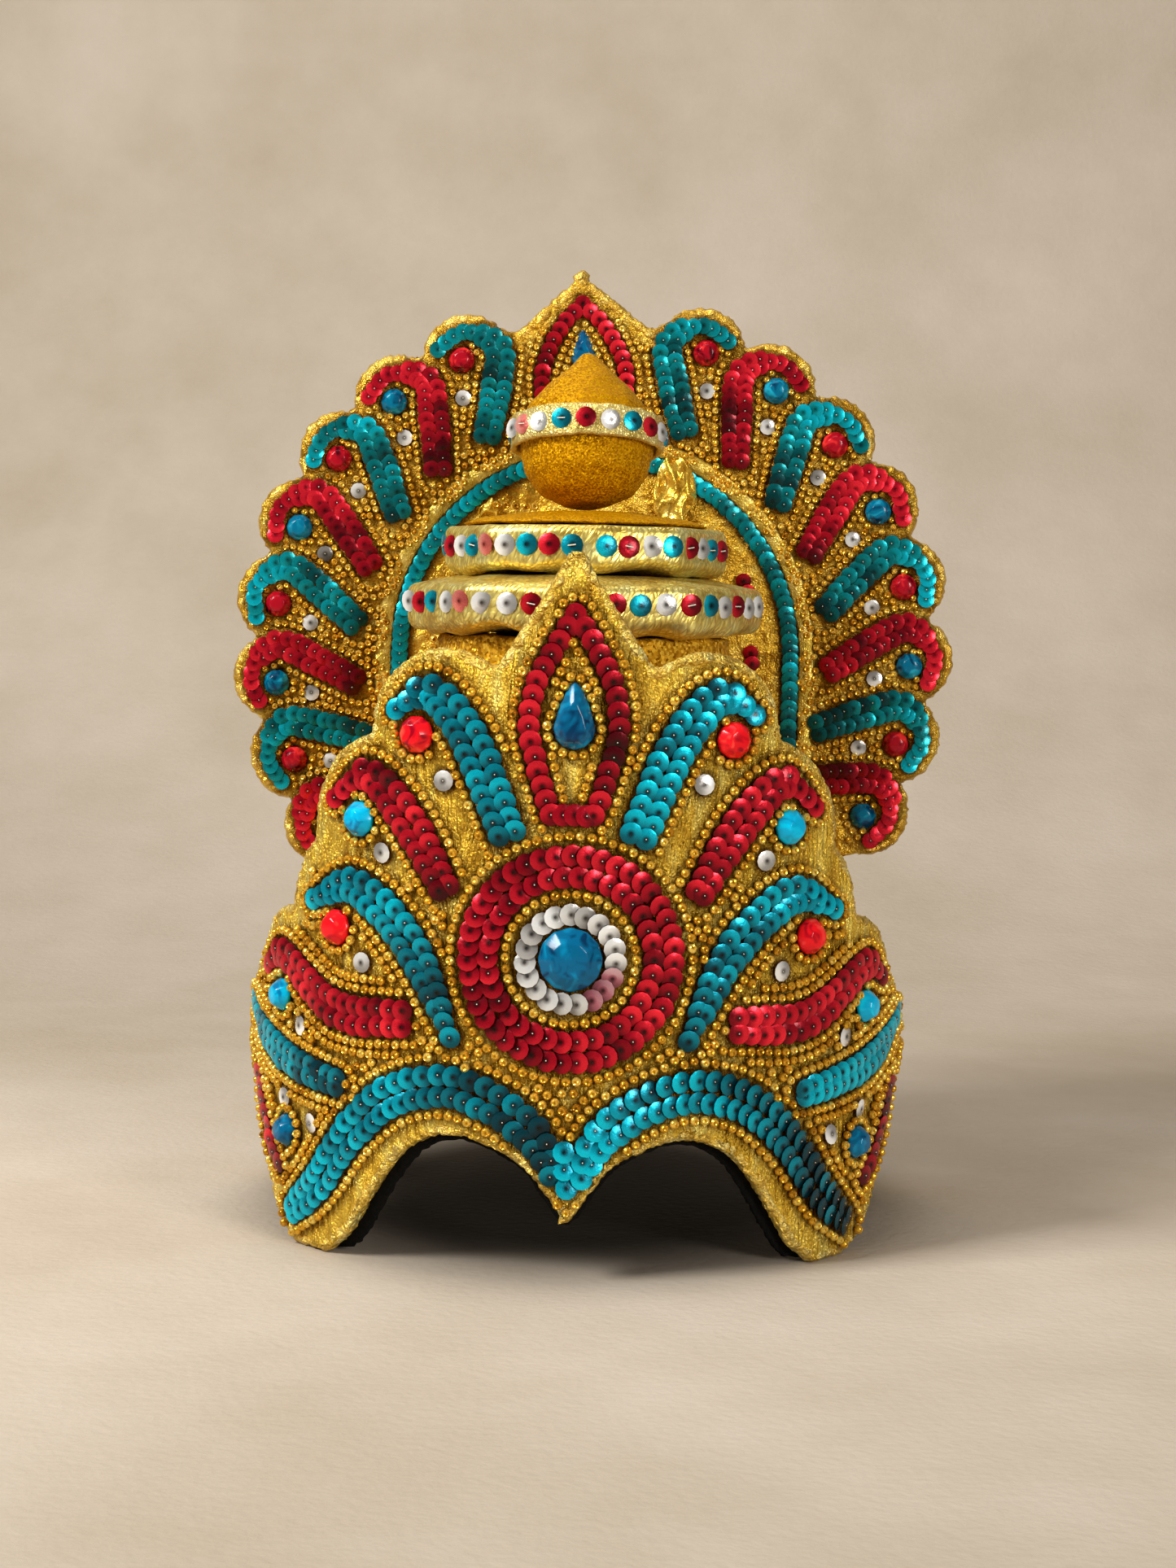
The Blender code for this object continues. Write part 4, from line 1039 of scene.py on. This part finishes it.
mixed_row("bulb_band", BAND_FILMS, round_wall(BAND_RADIUS, bulb_axis),
          [BAND_PITCH_DEG * i for i in range(len(BAND_FILMS))], BAND_RADIUS, BAND_MIDDLE, BAND_SEQUIN, 0.35)

# Disc: card covered with warmer foil, its scalloped edge finished with a pleated
# roll. It stands behind the tiers and is turned a little.
HALO_RADIUS = 118.1
HALO_MIDDLE = (1.5, 57, 169.5)
HALO_TURN_DEG = 2.5
LOBES_PER_SIDE = 8
LOBE_STEP_DEG = 14.3
LOBE_DEPTH = 8.53
FIRST_STONE_DEG = 22.5
HALO_ROLL_RADIUS = 2.9
HALO_ROLL_INSET = 1.9
HALO_ROLL_SINK = 2.5
HALO_SPIKE_EDGE = ((0, 1.046), (1.1, 1.021), (11.9, 0.902))
halo_facing = turned(-HALO_TURN_DEG, "Y") @ turned(90, "X")


def metres(x, y, z):
    """A place in millimetres from the ring's axis on the floor, in metres."""
    return ring_axis + Vector((x, y, z)) * MM


def on_disc(x, y, lift):
    """Placement on the disc's face: X to the right, Y up it and Z out of it."""
    return Matrix.Translation(metres(*HALO_MIDDLE)) @ halo_facing @ moved(x, y, lift)


def polar(turn_deg, share):
    """Point of the disc at a turn from its top, its radius a share of the disc's."""
    angle = math.radians(turn_deg)
    return HALO_RADIUS * share * math.sin(angle), HALO_RADIUS * share * math.cos(angle)


halo_right = [polar(*place) for place in HALO_SPIKE_EDGE]
lobe_foot = 1 - LOBE_DEPTH / HALO_RADIUS
for number in range(LOBES_PER_SIDE):
    middle = FIRST_STONE_DEG + LOBE_STEP_DEG * number - 1
    lobe_end = polar(middle + LOBE_STEP_DEG / 2, lobe_foot)
    halo_right += arc_through(polar(middle - LOBE_STEP_DEG / 2, lobe_foot), polar(middle, 1), lobe_end, 12)
halo_right.append(lobe_end)
halo_edge = halo_right[::-1] + other_side(halo_right[1:])
halo_foil = foil_material("halo_foil", (0.54, 0.28, 0.018), (0.78, 0.46, 0.04), (0.94, 0.67, 0.12),
                          0.9, 3, crease_depth=2, tilt=0.35)
halo_roll_foil = foil_material("halo_roll_foil", (0.48, 0.25, 0.02), (0.78, 0.48, 0.07),
                               (0.95, 0.72, 0.20), 0.8, 2.2, crease_depth=1, facet=3, tilt=0.5,
                               rough=(0.24, 0.42))
disc = clothe("halo", "disc_foil", 1.25, 3, halo_foil)
crinkle(disc, 9, 0.5, 12)
crinkle(disc, 3.2, 0.2, 14)
rolled_edge("disc_roll", beside(walk(halo_edge, 1.6), HALO_ROLL_INSET), False, on_disc,
            HALO_ROLL_RADIUS, HALO_ROLL_SINK, pleat=2.4, depth=0.9, material=halo_roll_foil,
            seed=7, across=0.8)

# Sequins and stones of the disc: a curled strip of two rows on each lobe, teal
# and red in turn, an arch of one row inside, and a red loop on the spike.
HALO_SEQUIN = 2.75
HALO_TILT_DEG = 8
HALO_ROW = 5.4
HALO_STRIP_PITCH = 3.2
HALO_PAIR_FROM = 3.9
HALO_STRIP = ((3.4, 0.930, 0.38), (-2.2, 0.945, 0.59), (-7, 0.876, 0.91), (-4.3, 0.775, 1),
              (2.4, 0.648, 0.89))
HALO_LOOP_PITCH = 3.6
HALO_LOOP = ((0, 0.955), (4.3, 0.887), (8.5, 0.775), (9.4, 0.657))
HALO_STONE_INSET = 14.3
HALO_STONE = 4.3
HALO_CLEAR_SHARE = 92.7 / HALO_RADIUS
HALO_CLEAR_TURN = 2.8
ARC_RADIUS = 63.8
ARC_LOW = -35.5
ARC_ASIDE = 1
ARC_STEPS = 90
ARC_SEQUIN = 2.8
ARC_PITCH = 3.1
disc_sequin = make_sequin("disc_sequin_pattern", 0.42, 0.3)
halo_taken = {}
halo_stitches = []
halo_sewing = (on_disc, halo_taken, halo_stitches)
halo_lines = []
halo_stones = []
for number in range(LOBES_PER_SIDE):
    stone_turn = FIRST_STONE_DEG + LOBE_STEP_DEG * number
    line = smooth_line([(*polar(stone_turn + turn, share), width * HALO_ROW)
                        for turn, share, width in HALO_STRIP])
    film, kind = ("red", "teal_blue") if number % 2 else ("green", "crimson")
    stone_x, stone_y = polar(stone_turn, 1 - HALO_STONE_INSET / HALO_RADIUS)
    for side, sign, sewn in (("right", 1, line), ("left", -1, other_side(line))):
        halo_lines.append(sewn)
        sew("disc_strip_%d_%s" % (number + 1, side), film,
            strip_rows(sewn, HALO_STRIP_PITCH, HALO_SEQUIN, HALO_PAIR_FROM),
            *halo_sewing, HALO_SEQUIN, lift=2.6, tone=(0.25, 0.68), tilt_deg=HALO_TILT_DEG,
            pattern=disc_sequin, measure=math.hypot)
        set_stone("halo_stone_%d_%s" % (number + 1, side), kind)
        take(halo_taken, sign * stone_x, stone_y, HALO_STONE)
        halo_stones.append((sign * stone_x, stone_y))
set_stone("halo_stone_spike", "deep_blue")
arch = circle(0, 0, ARC_RADIUS, ARC_STEPS)[:ARC_STEPS // 2 + 1]
arch = [(ARC_RADIUS, ARC_LOW)] + arch + [(-ARC_RADIUS, ARC_LOW)]
swing = cmath.rect(1, math.radians(-HALO_TURN_DEG))
arch = [(spot.real, spot.imag) for spot in (complex(x + ARC_ASIDE, y) * swing for x, y in arch)]
sew("disc_arch_sequins", "green", row_along(arch[::-1], ARC_PITCH), *halo_sewing, ARC_SEQUIN, lift=1.3,
    tone=(0.7, 0.35), tilt_deg=HALO_TILT_DEG, pattern=disc_sequin, node="halo_arc")
loop_line = [(x, y, 2.7) for x, y in smooth_line([polar(*place) for place in HALO_LOOP])]
loop_rows = []
for line in (loop_line, other_side(loop_line)):
    halo_lines.append(line)
    loop_rows += row_along(line, HALO_LOOP_PITCH)
sew("disc_loop_sequins", "red", loop_rows, *halo_sewing, HALO_SEQUIN, lift=1.3, tone=(0.35, 1),
    node="halo_spike_loop")
loose = []
for number in range(LOBES_PER_SIDE):
    x, y = polar(FIRST_STONE_DEG + LOBE_STEP_DEG * number + HALO_CLEAR_TURN, HALO_CLEAR_SHARE)
    loose += [(sign * x, y, rng.uniform(0, 6)) for sign in (1, -1)]
sew("disc_clear_sequins", "clear", loose, *halo_sewing, 2.6, lift=0.8, tone=(0.7, 0.7),
    tilt_deg=LOOSE_TILT_DEG)

# Gold beads of the disc: smaller seeds, a row round every strip and stone, one
# along the scalloped rim and one inside the strips' feet.
HALO_BEAD = 1.2
HALO_PITCH = 2.55
HALO_ROW_GAP = 1.5
HALO_SECOND_GAP = 4.1
RIM_ROW_INSET = 6.1
HALO_DROP = (0.809, 5.6, 10.6)
HALO_MARGIN = 4.4
RIM_MARGIN = 5.2
STONE_ROW = 5.8
INNER_ROW = 73.4
halo_rim = np.array(walk(halo_edge, 1.5))
halo_strung = []
cloth = (halo_taken, halo_strung, halo_rim, HALO_BEAD, HALO_PITCH)
for line in halo_lines:
    string_row(cloth, around(line, HALO_ROW_GAP), HALO_MARGIN)
for x, y in halo_stones:
    string_row(cloth, circle(x, y, STONE_ROW), HALO_MARGIN)
inner_row = [polar(turn, INNER_ROW / HALO_RADIUS) for turn in range(-128, 129, 4)]
string_row(cloth, inner_row, HALO_MARGIN, False)
string_row(cloth, beside(walk(halo_edge, 1.6), RIM_ROW_INSET), RIM_MARGIN, False)
for line in halo_lines:
    string_row(cloth, around(line, HALO_SECOND_GAP), RIM_MARGIN)
string_row(cloth, drop(HALO_RADIUS * HALO_DROP[0], *HALO_DROP[1:]), HALO_MARGIN)
bead_rows("disc_gold_beads", halo_strung, on_disc, HALO_BEAD, lift=0.8, tone=0.6)
knots("disc_thread_knots", halo_stitches)
disc_back = on_disc(0, 0, 0).inverted()
paint_shade_beside_pieces(disc, halo_taken, lambda spot: disc_back @ spot / MM)

# Inside the strips' feet: a plain ribbon of dull foil round the arch, and foil
# that was left over, crumpled and tucked in beside the bulb.
RIBBON_HALF = 2.9
RIBBON_OUTSIDE = 5.3
RIBBON_LIFT = 0.2
ribbon_foil = foil_material("ribbon_foil", (0.38, 0.24, 0.02), (0.66, 0.46, 0.07), (0.90, 0.70, 0.20),
                            0.9, 5, crease_depth=0.8, tilt=0.25, facet=8, rough=(0.32, 0.48))
ribbon_path = beside(walk(arch, 2), -RIBBON_OUTSIDE)
rolled_edge("arch_ribbon", ribbon_path, False, on_disc, RIBBON_HALF, -RIBBON_LIFT, pleat=7, depth=0.35,
            material=ribbon_foil, seed=11, out=0.22)
wad_foil = foil_material("wad_foil", (0.50, 0.28, 0.02), (0.88, 0.58, 0.07), (1, 0.82, 0.22),
                         1.6, 5, crease_depth=0.8, grain_depth=0.2, facet=4.5, tilt=0.6,
                         rough=(0.22, 0.34))
# Each wad's place on the disc, half width, half height and half depth
WADS = ((28, 51, 7.5, 13, 3), (-32.5, 47.5, 5, 4, 2.2), (37, 34, 5.5, 7, 2.6))
for number, (x, y, wide, high, deep) in enumerate(WADS):
    bpy.ops.object.select_all(action="DESELECT")
    bpy.ops.mesh.primitive_ico_sphere_add(subdivisions=5, radius=MM)
    wad = bpy.context.object
    wad.name = "crumpled_foil_%d" % (number + 1)
    wad.matrix_world = on_disc(x, y, deep * 0.7) @ Matrix.Diagonal((wide, high, deep, 1))
    bpy.ops.object.transform_apply()
    crinkle(wad, 6, 3.6, number + 20, (1, 1, 0.4))
    bpy.ops.object.shade_smooth()
    declare(wad, wad_foil)
# Ends of thread with the last seeds on them, and red films left showing
ENDS = {"disc_end_beads": ((-29.5, 48.8), (-26.4, 48.6), (-23.3, 48.2), (-20.2, 47.9), (-17.1, 47.7)),
        "disc_strand_beads": ((-50.9, 8.5), (-51.4, 5.7), (-51.2, 2.9), (-50.7, 0.1), (-51, -2.7))}
for name, spots in ENDS.items():
    bead_rows(name, [(x, y, 0) for x, y in spots], on_disc, 1.35, lift=3.4, tone=0.35)
hidden_films = [(50, 22, -1.2), (51.5, 18.2, -1.3), (52, -1.5, -1.4), (52.4, -5.3, -1.5)]
sew("disc_inner_red_sequins", "red", hidden_films, on_disc, halo_taken, [], 2.6, lift=1.2, tone=(0.4, 0.4))

# Studio: a pale floor that runs up into a warm mottled wall, soft daylight from
# the upper left in front, and the camera at the eye of the photograph.
EYE_HEIGHT = 180.5
EYE_DISTANCE = 798
EYE_TURN_DEG = 1.2
AXIS_LEFT_DEG = 0.152
LOOK_DOWN_DEG = 3.63
ROLL_DEG = 1
LENS = 59.9
FLOOR_HALF_WIDTH = 1800
WALL_DISTANCE = 1000
WALL_HEIGHT = 2400
# The floor has a painted shadow under the crown, behind the arches, and painted shade that dims it toward the
# eye
SHADE_MIDDLE = (0, 22, 0)
SHADE_HALF = (118, 152, 60)
FRONT_SHADE = 0.7

bpy.ops.object.select_all(action="DESELECT")
bpy.ops.mesh.primitive_plane_add(size=2 * FLOOR_HALF_WIDTH * MM, location=(0, 0, -0.0004))
floor = bpy.context.object
floor.name = "studio_floor"
bpy.ops.object.transform_apply(location=True)
bpy.ops.object.mode_set(mode="EDIT")
sheet = bmesh.from_edit_mesh(floor.data)
bpy.ops.mesh.select_all(action="DESELECT")
for edge in sheet.edges:
    edge.select = all(vert.co.y > 0 for vert in edge.verts)
bmesh.update_edit_mesh(floor.data)
bpy.ops.transform.translate(value=(0, (WALL_DISTANCE - FLOOR_HALF_WIDTH) * MM, 0))
bpy.ops.mesh.extrude_region_move(TRANSFORM_OT_translate={"value": (0, 0, WALL_HEIGHT * MM)})
bpy.ops.object.mode_set(mode="OBJECT")
apply_modifier(floor, "BEVEL", width=0.6, segments=16, limit_method="ANGLE")
bpy.ops.object.shade_smooth()
paper, tree, shader = new_material("warm_paper", (0.58, 0.50, 0.42))
mottle = noise_on(tree, 200, Detail=6, Roughness=0.62)
tone = colour_ramp(tree, mottle, ((0.30, (0.46, 0.39, 0.30)), (0.70, (0.59, 0.52, 0.44))))
where = add_node(tree, "TexCoord", {}).outputs["Object"]
depth = add_node(tree, "SeparateXYZ", {"Vector": where}).outputs["Y"]
# Painted shade: the floor dims toward its front edge
dimmed = add_node(tree, "VectorMath", {0: tone, "Scale": ranged(tree, depth, FRONT_SHADE, 1, -0.6, -0.1)},
                  operation="SCALE")
# Painted shadow under the crown: a soft ball of near black over the floor's colour
shade_space = object_space(tree, Location=metres(*SHADE_MIDDLE), Scale=[half * MM for half in SHADE_HALF])
ball = add_node(tree, "TexGradient", {"Vector": shade_space}, gradient_type="SPHERICAL")
under = ranged(tree, ball.outputs["Fac"], 0, 1, 0, 0.55, "SMOOTHSTEP")
tooth = noise_on(tree, 3, Detail=4)
wire(tree, shader, {
    "Roughness": 0.8, "Specular IOR Level": 0.1, "Normal": add_bump(tree, tooth, 0.8, 0.5),
    "Base Color": blended(tree, under, dimmed.outputs[0], (0.02, 0.015, 0.01)),
})
floor.data.materials.append(paper)

heading = math.radians(EYE_TURN_DEG)
eye = metres(EYE_DISTANCE * math.sin(heading), -EYE_DISTANCE * math.cos(heading), EYE_HEIGHT)
camera_data = bpy.data.cameras.new("photo_camera")
camera_data.lens = LENS
camera_data.sensor_width = 36
camera_data.clip_start = 0.01
camera = add_object("photo_camera", camera_data)
camera.matrix_world = (Matrix.Translation(eye)
                       @ turned(EYE_TURN_DEG - AXIS_LEFT_DEG, "Z") @ turned(90 - LOOK_DOWN_DEG, "X")
                       @ turned(ROLL_DEG, "Z"))
bpy.context.scene.camera = camera


def softbox(name, spot, target, size, power, colour):
    """A square softbox aimed at a place, both in millimetres."""
    data = bpy.data.lights.new(name, "AREA")
    data.shape = "SQUARE"
    data.size = size * MM
    data.energy = power
    data.color = colour
    lamp = add_object(name, data)
    lamp.location = metres(*spot)
    lamp.rotation_euler = (metres(*target) - lamp.location).to_track_quat("-Z", "Y").to_euler()


softbox("key_softbox", (-820, -560, 930), (0, 0, 130), 380, 19, (1, 0.97, 0.92))
softbox("fill_softbox", (1000, -1400, 560), (0, 0, 130), 450, 15.5, (1, 0.96, 0.91))
softbox("top_softbox", (-100, 100, 1200), (0, 200, 100), 600, 3.4, (1, 0.98, 0.95))
world = bpy.data.worlds.new("studio_air")
world.use_nodes = True
air = world.node_tree.nodes["Background"]
wire(world.node_tree, air, {"Color": (0.95, 0.88, 0.80, 1), "Strength": 0.22})
bpy.context.scene.world = world

for pattern in (sequin, disc_sequin, bead, knot, thread_bar):
    bpy.data.objects.remove(pattern, do_unlink=True)
